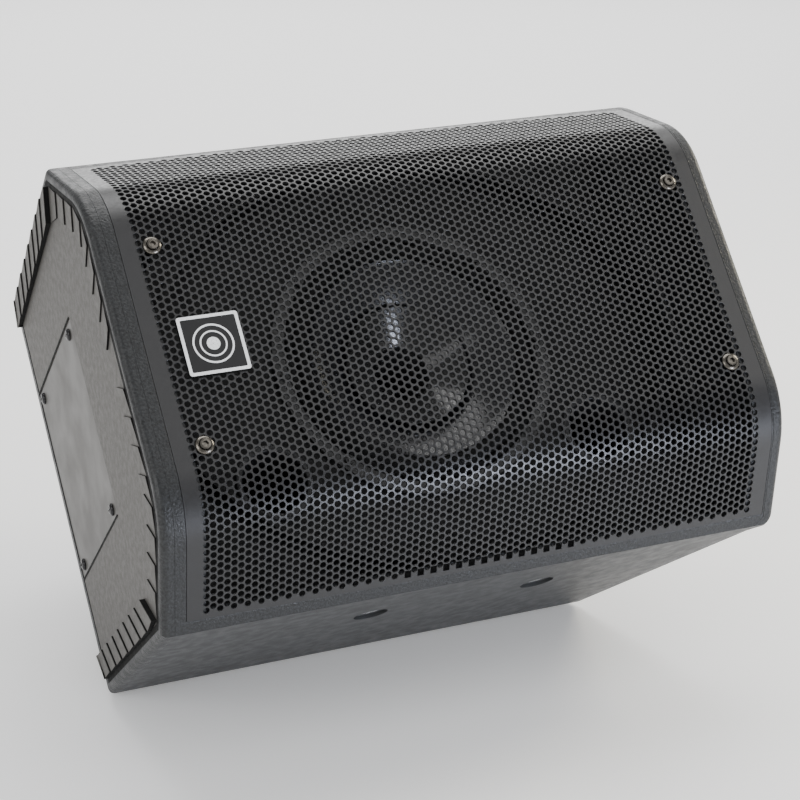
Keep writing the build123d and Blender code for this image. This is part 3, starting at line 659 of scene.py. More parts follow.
# ------------------------------------------------------------------ geometry node trees
class Tree(Graph):
    """A geometry node tree with named inputs."""

    def __init__(self, name, **inputs):
        super().__init__(bpy.data.node_groups.new(name, "GeometryNodeTree"))
        face = self.group.interface
        face.new_socket("Geometry", in_out="OUTPUT", socket_type="NodeSocketGeometry")
        for label, (kind, value) in inputs.items():
            socket = face.new_socket(
                label.replace("_", " "), in_out="INPUT", socket_type="NodeSocket" + kind
            )
            if value is not None:
                socket.default_value = value
        self.source = self.add("NodeGroupInput")
        self.sink = self.add("NodeGroupOutput")

    def given(self, label):
        return self.source.outputs[label]

    def feed(self, node, *operands):
        for index, operand in enumerate(operands):
            self.set(node, index, operand)
        return node

    def sum(self, operation, *operands):
        """One math node: a socket or number for each operand."""
        return self.feed(self.add("ShaderNodeMath", operation=operation), *operands).outputs[0]

    def vector(self, *parts):
        return self.feed(self.add("ShaderNodeCombineXYZ"), *parts).outputs[0]

    def round_middle(self, x, y):
        """A place x, y from the Middle input."""
        position = self.add("ShaderNodeVectorMath", operation="ADD")
        return self.feed(position, self.vector(x, y, 0), self.given("Middle")).outputs[0]

    def shape_of(self, label):
        info = self.add("GeometryNodeObjectInfo", Object=self.given(label))
        return info.outputs["Geometry"]

    def scattered(self, count, position, item, turn=None):
        """The item's geometry at `count` points, each at the position field."""
        points = self.add("GeometryNodePoints", Count=count, Position=position).outputs[0]
        copies = self.add("GeometryNodeInstanceOnPoints", Points=points, Instance=item)
        if turn is not None:
            self.set(copies, "Rotation", turn)
        return copies.outputs[0]

    def realized(self, geometry):
        return self.add("GeometryNodeRealizeInstances", Geometry=geometry).outputs[0]

    def finished(self, geometry):
        """Ends the tree with Realize Instances and Set Material."""
        coated = self.add(
            "GeometryNodeSetMaterial", Geometry=self.realized(geometry),
            Material=self.given("Material"),
        )
        self.set(self.sink, 0, coated.outputs[0])
        return self.group


def grown(name, group, matrix, smooth_angle=math.radians(32), **values):
    """A plain mesh piece grown by a node tree in a local frame, and moved to its place."""
    piece = link_object(name, bpy.data.meshes.new(name))
    growth = piece.modifiers.new("Growth", "NODES")
    growth.node_group = group
    identifiers = {
        item.name: item.identifier
        for item in group.interface.items_tree
        if item.item_type == "SOCKET" and item.in_out == "INPUT"
    }
    for label, value in values.items():
        growth[identifiers[label.replace("_", " ")]] = value
    settle(piece, smooth_angle)
    piece.data.transform(matrix)
    return piece


def spots_tree(name):
    """Copies of an item on a rectangle of places: columns by rows, evenly spaced."""
    tree = Tree(
        name, Item=("Object", None), Columns=("Int", 2), Rows=("Int", 2),
        Column_spacing=("Float", 0.1), Row_spacing=("Float", 0.1),
        Middle=("Vector", (0, 0, 0)), Material=("Material", None),
    )
    index = tree.add("GeometryNodeInputIndex").outputs[0]
    column = tree.sum("FLOOR", tree.sum("DIVIDE", index, tree.given("Rows")))
    row = tree.sum("MODULO", index, tree.given("Rows"))

    def centred(step, count, spacing):
        half = tree.sum("MULTIPLY", tree.sum("SUBTRACT", count, 1), 0.5)
        return tree.sum("MULTIPLY", tree.sum("SUBTRACT", step, half), spacing)

    position = tree.round_middle(
        centred(column, tree.given("Columns"), tree.given("Column spacing")),
        centred(row, tree.given("Rows"), tree.given("Row spacing")),
    )
    count = tree.sum("MULTIPLY", tree.given("Columns"), tree.given("Rows"))
    return tree.finished(tree.scattered(count, position, tree.shape_of("Item")))


def ring_tree(name):
    """Copies of an item on an arc about a middle, each turned to face outwards."""
    tree = Tree(
        name, Item=("Object", None), Count=("Int", 8), Radius=("Float", 0.1),
        Start=("Float", 0.0), Sweep=("Float", 2 * math.pi),
        Middle=("Vector", (0, 0, 0)), Material=("Material", None),
    )
    index = tree.add("GeometryNodeInputIndex").outputs[0]
    step = tree.sum("DIVIDE", tree.given("Sweep"), tree.given("Count"))
    turn = tree.sum("ADD", tree.sum("MULTIPLY", index, step), tree.given("Start"))
    position = tree.round_middle(
        tree.sum("MULTIPLY", tree.sum("COSINE", turn), tree.given("Radius")),
        tree.sum("MULTIPLY", tree.sum("SINE", turn), tree.given("Radius")),
    )
    return tree.finished(tree.scattered(
        tree.given("Count"), position, tree.shape_of("Item"), tree.vector(0, 0, turn)
    ))


def perforated_tree(name):
    """Staggered punched cells and a plain border, wrapped round a bent front.

    Everything is laid out flat, x along the sheet and y along its arc, and is then bent:
    flat in the middle, an arc on each side and a straight bevel beyond it.
    """
    tree = Tree(
        name, Cell=("Object", None), Border=("Object", None), Columns=("Int", 20),
        Rows=("Int", 20), Column_pitch=("Float", 0.005), Hole_pitch=("Float", 0.005),
        First_x=("Float", 0.0), First_arc=("Float", 0.0), Flat_half=("Float", 0.08),
        Bend_radius=("Float", 0.06), Bend_angle=("Float", 0.8), Crown=("Float", 0.0),
        Crown_half=("Float", 0.2), Material=("Material", None),
    )
    given, sum_of = tree.given, tree.sum
    index = tree.add("GeometryNodeInputIndex").outputs[0]
    column = sum_of("FLOOR", sum_of("DIVIDE", index, given("Rows")))
    row = sum_of("MODULO", index, given("Rows"))
    stagger = sum_of("MULTIPLY", sum_of("MODULO", column, 2), 0.5)
    flat = tree.vector(
        sum_of("MULTIPLY_ADD", column, given("Column pitch"), given("First x")),
        sum_of(
            "MULTIPLY_ADD", sum_of("ADD", row, stagger), given("Hole pitch"), given("First arc")
        ),
        0,
    )
    count = sum_of("MULTIPLY", given("Columns"), given("Rows"))
    cells = tree.scattered(count, flat, tree.shape_of("Cell"))
    both = tree.add("GeometryNodeJoinGeometry", Geometry=cells)
    tree.set(both, 0, tree.shape_of("Border"))
    welded = tree.add(
        "GeometryNodeMergeByDistance", Geometry=tree.realized(both.outputs[0]),
        Distance=0.02 * MM,
    )

    position = tree.add("GeometryNodeInputPosition").outputs[0]
    along, arc, outward = tree.add("ShaderNodeSeparateXYZ", Vector=position).outputs
    side = sum_of("SIGN", arc)
    length = sum_of("ABSOLUTE", arc)
    past_flat = sum_of("MAXIMUM", sum_of("SUBTRACT", length, given("Flat half")), 0)
    turn = sum_of("MINIMUM", sum_of("DIVIDE", past_flat, given("Bend radius")), given("Bend angle"))
    past_bend = sum_of("SUBTRACT", past_flat, sum_of("MULTIPLY", turn, given("Bend radius")))
    sine, cosine = sum_of("SINE", turn), sum_of("COSINE", turn)
    share = sum_of("DIVIDE", along, given("Crown half"))
    bulge = sum_of("SUBTRACT", 1, sum_of("MULTIPLY", share, share))
    bow = sum_of("MULTIPLY", bulge, given("Crown"))
    proud = sum_of("ADD", outward, bow)
    height = sum_of("MINIMUM", length, given("Flat half"))
    height = sum_of("MULTIPLY_ADD", sine, given("Bend radius"), height)
    height = sum_of("MULTIPLY_ADD", past_bend, cosine, height)
    height = sum_of("MULTIPLY_ADD", proud, sine, height)
    drop = sum_of("MULTIPLY", sum_of("SUBTRACT", 1, cosine), given("Bend radius"))
    drop = sum_of("MULTIPLY_ADD", past_bend, sine, drop)
    lift = sum_of("SUBTRACT", sum_of("MULTIPLY", proud, cosine), drop)
    bent = tree.add(
        "GeometryNodeSetPosition", Geometry=welded.outputs[0],
        Position=tree.vector(along, sum_of("MULTIPLY", height, side), lift),
    )
    return tree.finished(bent.outputs[0])


def pattern_object(name, shape):
    """An object that only serves as an item for a node tree, and is removed afterwards."""
    return link_object(name, mesh_from(shape, name))


def discard(*items):
    for item in items:
        bpy.data.objects.remove(item)


# ------------------------------------------------------------------ the cabinet's section
FLAT_HALF = 85.0 * MM  # half of the flat part of the front
BEND_RADIUS = 61.0 * MM
BEND_ANGLE = math.radians(49)
LIP_DEPTH, LIP_HALF = 71.2 * MM, 174.7 * MM
PANEL_END = 240.5 * MM
SIDE_TILT = math.atan2(13.7, 176.3)
SHEET_HALF_ARC = 194.5 * MM
SHEET_HALF_LENGTH = 218.2 * MM
SHEET_THICKNESS = 1.5 * MM


def border_path(inset):
    """Points (depth, height) down one half of the section, drawn in by `inset`."""
    path = [(inset, 0.0)]
    for step in range(13):
        turn = BEND_ANGLE * step / 12
        radius = BEND_RADIUS - inset
        path.append((BEND_RADIUS - radius * math.cos(turn), FLAT_HALF + radius * math.sin(turn)))
    corner_turn = math.pi / 2 - BEND_ANGLE + SIDE_TILT
    back = inset * math.tan(corner_turn / 2)
    normal = (math.cos(BEND_ANGLE), -math.sin(BEND_ANGLE))
    path.append((
        LIP_DEPTH + normal[0] * inset - math.sin(BEND_ANGLE) * back,
        LIP_HALF + normal[1] * inset - math.cos(BEND_ANGLE) * back,
    ))
    lip = path[-1]
    path.append((PANEL_END, lip[1] - (PANEL_END - lip[0]) * math.tan(SIDE_TILT)))
    return path


def walked(path, distance):
    """The point `distance` along a path."""
    for (x0, y0), (x1, y1) in zip(path, path[1:]):
        run = math.hypot(x1 - x0, y1 - y0)
        if distance <= run:
            share = distance / run
            return (x0 + (x1 - x0) * share, y0 + (y1 - y0) * share)
        distance -= run
    return path[-1]


def path_length(path):
    return sum(math.dist(a, b) for a, b in zip(path, path[1:]))


# ------------------------------------------------------------------ screw heads and rings
HEXAGON = [(math.cos(math.radians(60 * i)), math.sin(math.radians(60 * i))) for i in range(6)]
CROSS = [
    (x * c - y * s, x * s + y * c)
    for c, s in ((1, 0), (0, 1), (-1, 0), (0, -1))
    for x, y in ((1.0, -0.22), (1.0, 0.22), (0.24, 0.24))
]


def driven_head(name, profile, drive, drive_radius, drive_depth, steps=32):
    """Screw head on z = 0 from its (radius, height) profile, with a recess for its driver."""
    shape = bmesh.new()
    loops = [
        [shape.verts.new((x, y, height * MM)) for x, y in circle_points(radius * MM, steps)]
        for radius, height in profile
    ]
    close_rows(shape, loops)
    shape.faces.new(list(reversed(loops[0])))
    top = profile[-1][1] * MM
    outline = [(x * drive_radius * MM, y * drive_radius * MM) for x, y in drive]
    mouth = [shape.verts.new((x, y, top)) for x, y in outline]
    floor = [shape.verts.new((x * 0.9, y * 0.9, top - drive_depth * MM)) for x, y in outline]
    band_faces(shape, loops[-1], mouth)
    close_rows(shape, (mouth, floor))
    shape.faces.new(floor)
    bmesh.ops.recalc_face_normals(shape, faces=shape.faces)
    return pattern_object(name, shape)


def pan_head(name, radius, height):
    """Domed head with a cross recess."""
    profile = [
        (radius * 0.98, 0), (radius, height * 0.2), (radius * 0.94, height * 0.55),
        (radius * 0.78, height * 0.85), (radius * 0.6, height),
    ]
    return driven_head(name, profile, CROSS, radius * 0.5, height * 0.6)


def flat_ring(shape, outer, inner, low, high):
    """Adds a closed ring between two outlines of as many points each."""
    rows = []
    for outline, height in ((outer, low), (outer, high), (inner, high), (inner, low)):
        rows.append([shape.verts.new((x, y, height)) for x, y in outline])
    close_rows(shape, rows + rows[:1])


# ------------------------------------------------------------------ places on the rear panel
KNOBS = (("mic", -46), ("line", -14), ("bass", 18), ("treble", 50))  # name, column in millimetres
KNOB_ROW = 34
PRINT = (0, 0.12 * MM)  # inner and outer face of the printed marks


# ------------------------------------------------------------------ operators
class WEDGE_OT_casing(bpy.types.Operator):
    """Rear shell, end caps and front frame"""

    bl_idname = "wedge.casing"
    bl_label = "Casing"

    def execute(self, context):
        radius = context.scene.wedge_cabinet.edge_radius
        textured = textured_casing()
        for node, name, material, seam_share in (
            ("rear_shell", "casing_rear", smooth_casing(), 0.35),
            ("bottom_end_cap", "casing_bottom_end", textured, 0.45),
            ("top_end_cap", "casing_top_end", textured, 0.45),
            ("front_frame", "casing_front_frame", textured, 0.35),
        ):
            softened(node, name, material, radius, "textured_shell", seam_share=seam_share)
        return {"FINISHED"}


class WEDGE_OT_end_panel(bpy.types.Operator):
    """Stippled end panel with its ribbed border, and the cover plate"""

    bl_idname = "wedge.end_panel"
    bl_label = "End panel"

    louvre_rise, louvre_low = 1.2 * MM, 0.15 * MM
    louvre_length = 17.5 * MM
    front_margin, pad_margin = 10 * MM, 8 * MM  # where louvres turn, and where pads start
    front_angle, side_angle, angle_change = -27, -51, -15  # degrees that the grooves run at
    inner_height, inner_drop = 141 * MM, 9 * MM
    pad_rise = 3.4 * MM
    pad_tilt = 0.5 * MM
    # thin grey caps sit on black cores, whose black sides and open grooves are painted shade
    cap_thickness = 0.2 * MM
    sunk = -0.1 * MM  # how far pieces reach into the panel
    louvre_gap = {1: 0.4, -1: 0.0}  # share of the ribs' groove, on the upper and lower side
    border_inset = 10.5 * MM
    first_groove = 21.5 * MM
    last_groove_height = 132 * MM
    # inner and outer inset of a black strip of painted shade along the border, where the gap behind
    # the rim lies in shadow
    shade_strip_insets = (6.9 * MM, 11.2 * MM)
    seal_rise, joint_rise = 0.1 * MM, 0.12 * MM
    joint_start, joint_height, joint_width = 105 * MM, 74 * MM, 1.5 * MM

    def groove(self, path, distance):
        """Outer and inner end of the groove that starts `distance` along the border."""
        outer = walked(path, distance)
        on_front = outer[1] < FLAT_HALF + self.front_margin
        on_pad = outer[0] > LIP_DEPTH - self.pad_margin
        share = max(0.0, (outer[0] - LIP_DEPTH) / (PANEL_END - LIP_DEPTH))
        degrees = self.front_angle if on_front else self.side_angle + self.angle_change * share
        angle = math.radians(degrees)
        if on_pad:
            height = outer[1] - self.inner_height + self.inner_drop * share
            length = height / -math.sin(angle)
        else:
            length = self.louvre_length
        inner = (outer[0] + length * math.cos(angle), outer[1] + length * math.sin(angle))
        return outer, inner, on_pad

    def slat(self, shape, before, after, gap, bases, tops, side):
        """One rib between two grooves: it is thicker at its second groove, outwards is -z."""
        (o0, i0), (o1, i1) = before[:2], after[:2]

        def drawn(a, b):
            share = gap / 2 / math.dist(a, b)
            return (
                (a[0] + (b[0] - a[0]) * share, a[1] + (b[1] - a[1]) * share),
                (b[0] + (a[0] - b[0]) * share, b[1] + (a[1] - b[1]) * share),
            )

        o0, o1 = drawn(o0, o1)
        i0, i1 = drawn(i0, i1)
        corners = [o0, o1, i1, i0]
        rows = []
        for first, second in (bases, tops):
            heights = (first, second, second, first)
            rows.append([
                shape.verts.new((x, y * side, -h)) for (x, y), h in zip(corners, heights)
            ])
        bottom, top = rows
        shape.faces.new(bottom)
        shape.faces.new(list(reversed(top)))
        close_rows(shape, (top, bottom))

    def strip(self, shape, outer, inner, low, high, side):
        """A band between two paths of as many points each."""
        rows = []
        for path, height in ((outer, low), (outer, high), (inner, high), (inner, low)):
            rows.append([shape.verts.new((x, y * side, -height)) for x, y in path])
        for row, following in zip(rows, rows[1:] + rows[:1]):
            for i in range(len(row) - 1):
                shape.faces.new((row[i], row[i + 1], following[i + 1], following[i]))
        for end in (0, -1):
            shape.faces.new([row[end] for row in rows])

    def execute(self, context):
        looks = context.scene.wedge_cabinet
        softened("end_panel", "end_panel_plate", stippled_panel(), 0.5 * MM, "grey_panel")
        louvres, slats, shade_cores, lines = bmesh.new(), bmesh.new(), bmesh.new(), bmesh.new()
        path = border_path(self.border_inset)
        starts = np.arange(self.first_groove, path_length(path) + 1 * MM, looks.rib_pitch)
        grooves = [self.groove(path, float(start)) for start in starts]
        grooves.append((path[-1], (PANEL_END, self.last_groove_height), True))
        low, high = self.pad_rise - self.pad_tilt, self.pad_rise + self.pad_tilt
        thin = self.cap_thickness
        for side in (1, -1):
            for before, after in zip(grooves, grooves[1:]):
                on_pad = before[2]
                tops = (high, low) if on_pad else (self.louvre_rise, self.louvre_low)
                under = (tops[0] - thin, tops[1] - thin)
                gap = looks.groove_width * (1 if on_pad else self.louvre_gap[side])
                # The black core under each rib is painted shade in its grooves; the grey cap on it
                # is the rib's own colour.
                self.slat(shade_cores, before, after, 0.0, (self.sunk, self.sunk), under, side)
                self.slat(slats if on_pad else louvres, before, after, gap, under, tops, side)
            # A black strip along the border is painted shade for the shadowed gap behind the rim;
            # the strips across the panel below it are dark joint lines.
            outer, inner = [border_path(inset) for inset in self.shade_strip_insets]
            self.strip(lines, outer, inner, self.sunk, self.seal_rise, side)
            low_joint, high_joint = [
                [(self.joint_start, height), (PANEL_END, height)]
                for height in (self.joint_height, self.joint_height + self.joint_width)
            ]
            self.strip(lines, low_joint, high_joint, self.sunk, self.joint_rise, side)
        for name, shape, material, replaced in (
            ("end_louvres", louvres, stippled_panel(), ()),
            ("end_rib_slats", slats, stippled_panel(), ()),
            ("end_rib_bodies", shade_cores, coat("black_rubber"), ("rib_pads",)),
            ("end_seal", lines, coat("black_rubber"), ()),
        ):
            piece_of(name, shape, END, material, "grey_panel", replaced)
        softened("cover_plate", "end_cover_plate", smooth_panel(), 0.4 * MM, "cover_black")
        return {"FINISHED"}


class WEDGE_OT_grille(bpy.types.Operator):
    """Perforated sheet in three lengths that meet edge to edge"""

    bl_idname = "wedge.grille"
    bl_label = "Grille"

    lengths = ("left", "middle", "right")
    hole_steps = 12
    edge_break = 0.14 * MM

    def cell(self, width, height, radius):
        """One punched hole in its rectangle of sheet, outer face on z = 0."""
        shape = bmesh.new()
        outline = [
            (width / 2, 0), (width / 2, height / 2), (-width / 2, height / 2),
            (-width / 2, 0), (-width / 2, -height / 2), (width / 2, -height / 2),
        ]
        rings = []
        for r, z in (
            (radius + self.edge_break, 0), (radius, -self.edge_break), (radius, -SHEET_THICKNESS),
        ):
            rings.append([shape.verts.new((x, y, z)) for x, y in circle_points(r, self.hole_steps)])
        face = [shape.verts.new((x, y, 0)) for x, y in outline]
        back = [shape.verts.new((x, y, -SHEET_THICKNESS)) for x, y in outline]
        band_faces(shape, face, rings[0])
        band_faces(shape, back, rings[2])
        close_rows(shape, rings)
        self.turn_out(shape)
        return pattern_object("punched_cell", shape)

    def turn_out(self, shape):
        """Turns outer faces up, inner faces down, and the hole's wall towards its middle."""
        for face in shape.faces:
            face.normal_update()
            middle = face.calc_center_median()
            flat = Vector((middle.x, middle.y, 0))
            if abs(face.normal.z) > 0.95:
                outwards = Vector((0, 0, 1 if middle.z > -SHEET_THICKNESS / 2 else -1))
            else:
                outwards = -flat + Vector((0, 0, 0.3 * flat.length))
            if face.normal.dot(outwards) < 0:
                face.normal_flip()

    def border(self, edges_x, columns_here, looks, first_arc):
        """The plain sheet beyond the holes, on the same divisions as the cells."""
        shape = bmesh.new()
        half = looks.hole_pitch / 2
        fine = [first_arc + half * (i - 1) for i in range(2 * looks.rows + 2)]
        arcs = [-SHEET_HALF_ARC, *fine, SHEET_HALF_ARC]
        grid = {}

        def corner(i, j, z):
            key = (i, j, z)
            if key not in grid:
                grid[key] = shape.verts.new((edges_x[i], arcs[j], z))
            return grid[key]

        last_x, last_arc = len(edges_x) - 2, len(arcs) - 2
        for i in range(last_x + 1):
            column = columns_here[i]
            for j in range(last_arc + 1):
                stagger = 0 if column is None else column % 2
                if column is not None and 1 + stagger <= j < 1 + stagger + 2 * looks.rows:
                    continue
                square = [(i, j), (i + 1, j), (i + 1, j + 1), (i, j + 1)]
                shape.faces.new([corner(a, b, 0) for a, b in square])
                shape.faces.new([corner(a, b, -SHEET_THICKNESS) for a, b in reversed(square)])
                walls = []
                if j == 0:
                    walls.append((square[1], square[0]))
                if j == last_arc:
                    walls.append((square[3], square[2]))
                if i == 0 and column is None:
                    walls.append((square[0], square[3]))
                if i == last_x and column is None:
                    walls.append((square[2], square[1]))
                for a, b in walls:
                    shape.faces.new((
                        corner(*a, 0), corner(*b, 0),
                        corner(*b, -SHEET_THICKNESS), corner(*a, -SHEET_THICKNESS),
                    ))
        return pattern_object("plain_border", shape)

    def execute(self, context):
        looks = context.scene.wedge_grille
        pitch_x = looks.hole_pitch * math.sqrt(3) / 2
        first_x = -(looks.columns - 1) / 2 * pitch_x
        first_arc = -(looks.rows - 0.5) / 2 * looks.hole_pitch
        tree = perforated_tree("Perforated sheet")
        cell = self.cell(pitch_x, looks.hole_pitch, looks.hole_diameter / 2)
        share = looks.columns // len(self.lengths)
        for place_in_row, side in enumerate(self.lengths):
            first = place_in_row * share
            last = looks.columns if side == "right" else first + share
            edges_x = [first_x + (k - 0.5) * pitch_x for k in range(first, last + 1)]
            columns_here = list(range(first, last))
            if side == "left":
                edges_x.insert(0, -SHEET_HALF_LENGTH)
                columns_here.insert(0, None)
            if side == "right":
                edges_x.append(SHEET_HALF_LENGTH)
                columns_here.append(None)
            border = self.border(edges_x, columns_here, looks, first_arc)
            piece = grown(
                "grille_" + side, tree, DRIVER, Cell=cell, Border=border,
                Columns=last - first, Rows=looks.rows, Column_pitch=pitch_x,
                Hole_pitch=looks.hole_pitch, First_x=first_x + first * pitch_x,
                First_arc=first_arc + (first % 2) * looks.hole_pitch / 2,
                Flat_half=FLAT_HALF, Bend_radius=BEND_RADIUS, Bend_angle=BEND_ANGLE,
                Crown=looks.crown, Crown_half=SHEET_HALF_LENGTH, Material=powder_coat(),
            )
            place(piece, "grille_steel", ["grille"])
            discard(border)
        discard(cell)
        return {"FINISHED"}


class WEDGE_OT_screws(bpy.types.Operator):
    """Screws of the grille, cover plate, amplifier panel and handle, and the grille's washers"""

    bl_idname = "wedge.screws"
    bl_label = "Screws and washers"

    grille = (392, 145)  # millimetres between the grille's screws, along and across
    # (radius, height) in millimetres
    cup = (
        (3.95, 0.2), (6.45, 0.2), (6.6, 0.5), (6.5, 0.95), (6.0, 1.55), (5.2, 2.15),
        (4.7, 2.35), (4.3, 2.25), (4.0, 1.7),
    )
    socket = ((3.5, 0), (3.9, 0.5), (3.9, 2.6), (3.7, 2.95), (3.3, 3.1))

    def execute(self, context):
        tree = spots_tree("Screws in a rectangle")
        washer = link_object("cup_washer", spun(self.cup, "cup_washer", None, 40))
        socket_head = driven_head("socket_head", self.socket, HEXAGON, 2.1, 1.7)
        cover_head = pan_head("cover_head", 4.4, 2.3)
        panel_head = pan_head("panel_head", 4.0, 2.0)
        outer_plate = (END_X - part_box("cover_plate")[0].x) / MM
        nickel = (coat("nickel_plate"), "nickel_screws")
        black = (coat("black_oxide"), "black_screws")
        sets = (  # name, frame, head, spacing, middle, material and slot, what it replaces
            ("grille_washers", DRIVER, washer, self.grille, (0, 0, 0.3), nickel,
             "grille_cup_washers"),
            ("grille_socket_screws", DRIVER, socket_head, self.grille, (0, 0, 0.8), nickel,
             "grille_screws"),
            ("cover_screws", END_OUT, cover_head, (114, 133), (-173, 0, outer_plate), black,
             "cover_plate_screws"),
            ("panel_screws", REAR, panel_head, (240, 136), (0, 0, 0), black, "amp_panel_screws"),
            ("handle_fixings", HANDLE, panel_head, (64, 164), (0, 0, 2.5), black,
             "handle_screws"),
        )
        for name, matrix, item, spacing, middle, (material, slot), replaced in sets:
            piece = grown(
                name, tree, matrix, Item=item, Columns=2, Rows=2,
                Column_spacing=spacing[0] * MM, Row_spacing=spacing[1] * MM,
                Middle=[value * MM for value in middle], Material=material,
            )
            place(piece, slot, [replaced])
        discard(washer, socket_head, cover_head, panel_head)
        return {"FINISHED"}


class WEDGE_OT_badge(bpy.types.Operator):
    """Gloss badge with a bright border and an emblem of plain rings"""

    bl_idname = "wedge.badge"
    bl_label = "Badge"

    middle = Vector((-167.9, -4.0, 0.55)) * MM
    half, corner, thickness = 21.5 * MM, 2.0 * MM, 2.0 * MM
    border = ((21.2 * MM, 1.8 * MM), (19.0 * MM, 1.0 * MM))  # half width and corner radius
    rings = (  # outer and inner radius, and steps
        (14.2 * MM, 12.9 * MM, 64), (9.4 * MM, 8.3 * MM, 64), (4.6 * MM, 0.3 * MM, 48),
    )
    trim_span = (1.9 * MM, 2.3 * MM)

    def execute(self, context):
        matrix = FRONT @ Matrix.Translation(self.middle)
        plate = prism(rounded_square(self.half, self.corner), 0, self.thickness)
        weigh_edges(plate, 1.0)
        body = link_object("badge_plate", mesh_from(plate, "badge_plate", matrix))
        paint(body, coat("badge_gloss"))
        round_edges(body, 0.5 * MM, 3)
        place(body, "badge_black", ["badge"])
        trim = bmesh.new()
        pairs = [[rounded_square(*size) for size in self.border]]
        for *radii, steps in self.rings:
            pairs.append([circle_points(radius, steps) for radius in radii])
        for outer, inner in pairs:
            flat_ring(trim, outer, inner, *self.trim_span)
        piece_of("badge_rings", trim, matrix, coat("badge_silver"), "badge_black")
        return {"FINISHED"}


class WEDGE_OT_baffle(bpy.types.Operator):
    """Painted baffle with its two port tubes"""

    bl_idname = "wedge.baffle"
    bl_label = "Baffle and ports"

    def execute(self, context):
        softened("baffle", "baffle_board", coat("painted_baffle"), 0.8 * MM, "baffle_board")
        for side in ("left", "right"):
            softened(
                "port_tube_" + side, "port_" + side, coat("moulded_black"), 1.2 * MM,
                "black_plastic",
            )
        return {"FINISHED"}


class WEDGE_OT_driver(bpy.types.Operator):
    """Cone, surround and horn of the coaxial driver"""

    bl_idname = "wedge.driver"
    bl_label = "Coaxial driver"

    steps = 160
    # (radius, height out of the front face) in millimetres
    cone = (
        (78.0, -85.6), (78.2, -87.4), (72.0, -90.3), (65.0, -94.0), (58.0, -98.3),
        (51.0, -103.2), (44.0, -108.7), (37.0, -115.0), (31.0, -121.2), (26.6, -123.4),
        (25.6, -123.4), (25.6, -122.2), (30.4, -120.4), (36.4, -114.2), (43.4, -107.9),
        (50.4, -102.4), (57.6, -97.4), (64.6, -93.1), (71.6, -89.3), (76.0, -87.4),
    )
    surround = (
        (91.0, -85.4), (90.0, -85.4), (88.6, -83.0), (87.0, -81.0), (84.5, -79.9),
        (82.0, -81.0), (80.2, -83.2), (78.6, -85.4), (78.6, -86.4), (81.4, -82.6),
        (84.5, -80.9), (87.5, -82.4), (89.2, -86.2), (90.6, -87.2),
    )

    def execute(self, context):
        for name, points, material, slot, replaced, body in (
            ("driver_cone_skin", self.cone, glossy_cone(), "cone_pulp", "driver_cone",
             "cone_assembly"),
            ("driver_roll", self.surround, coat("black_rubber"), "soft_rubber",
             "driver_surround", "cabinet"),
        ):
            piece = link_object(name, spun(points, name, DRIVER, self.steps))
            paint(piece, material)
            settle(piece, math.radians(40))
            place(piece, slot, [replaced], body)
        softened(
            "driver_horn", "driver_flare", coat("horn_black"), 0.5 * MM, "horn_plastic",
            seam_share=0.6,
        )
        return {"FINISHED"}


class WEDGE_OT_feet(bpy.types.Operator):
    """Rubber feet and rigging inserts"""

    bl_idname = "wedge.feet"
    bl_label = "Feet and inserts"

    def execute(self, context):
        softened(
            "floor_feet", "rubber_feet", coat("black_rubber"), 0.9 * MM, "feet_rubber",
            segments=3,
        )
        softened(
            "rigging_inserts", "threaded_inserts", coat("zinc_plate"), 0.3 * MM, "plated_steel"
        )
        return {"FINISHED"}


class WEDGE_OT_handle(bpy.types.Operator):
    """Handle cup with its rubber-covered bar"""

    bl_idname = "wedge.handle"
    bl_label = "Handle"

    def execute(self, context):
        softened("handle_cup", "handle_shell", coat("moulded_black"), 0.9 * MM, "black_plastic")
        softened(
            "handle_bar", "handle_grip", coat("soft_touch"), 1.0 * MM, "grip_rubber", segments=3
        )
        return {"FINISHED"}


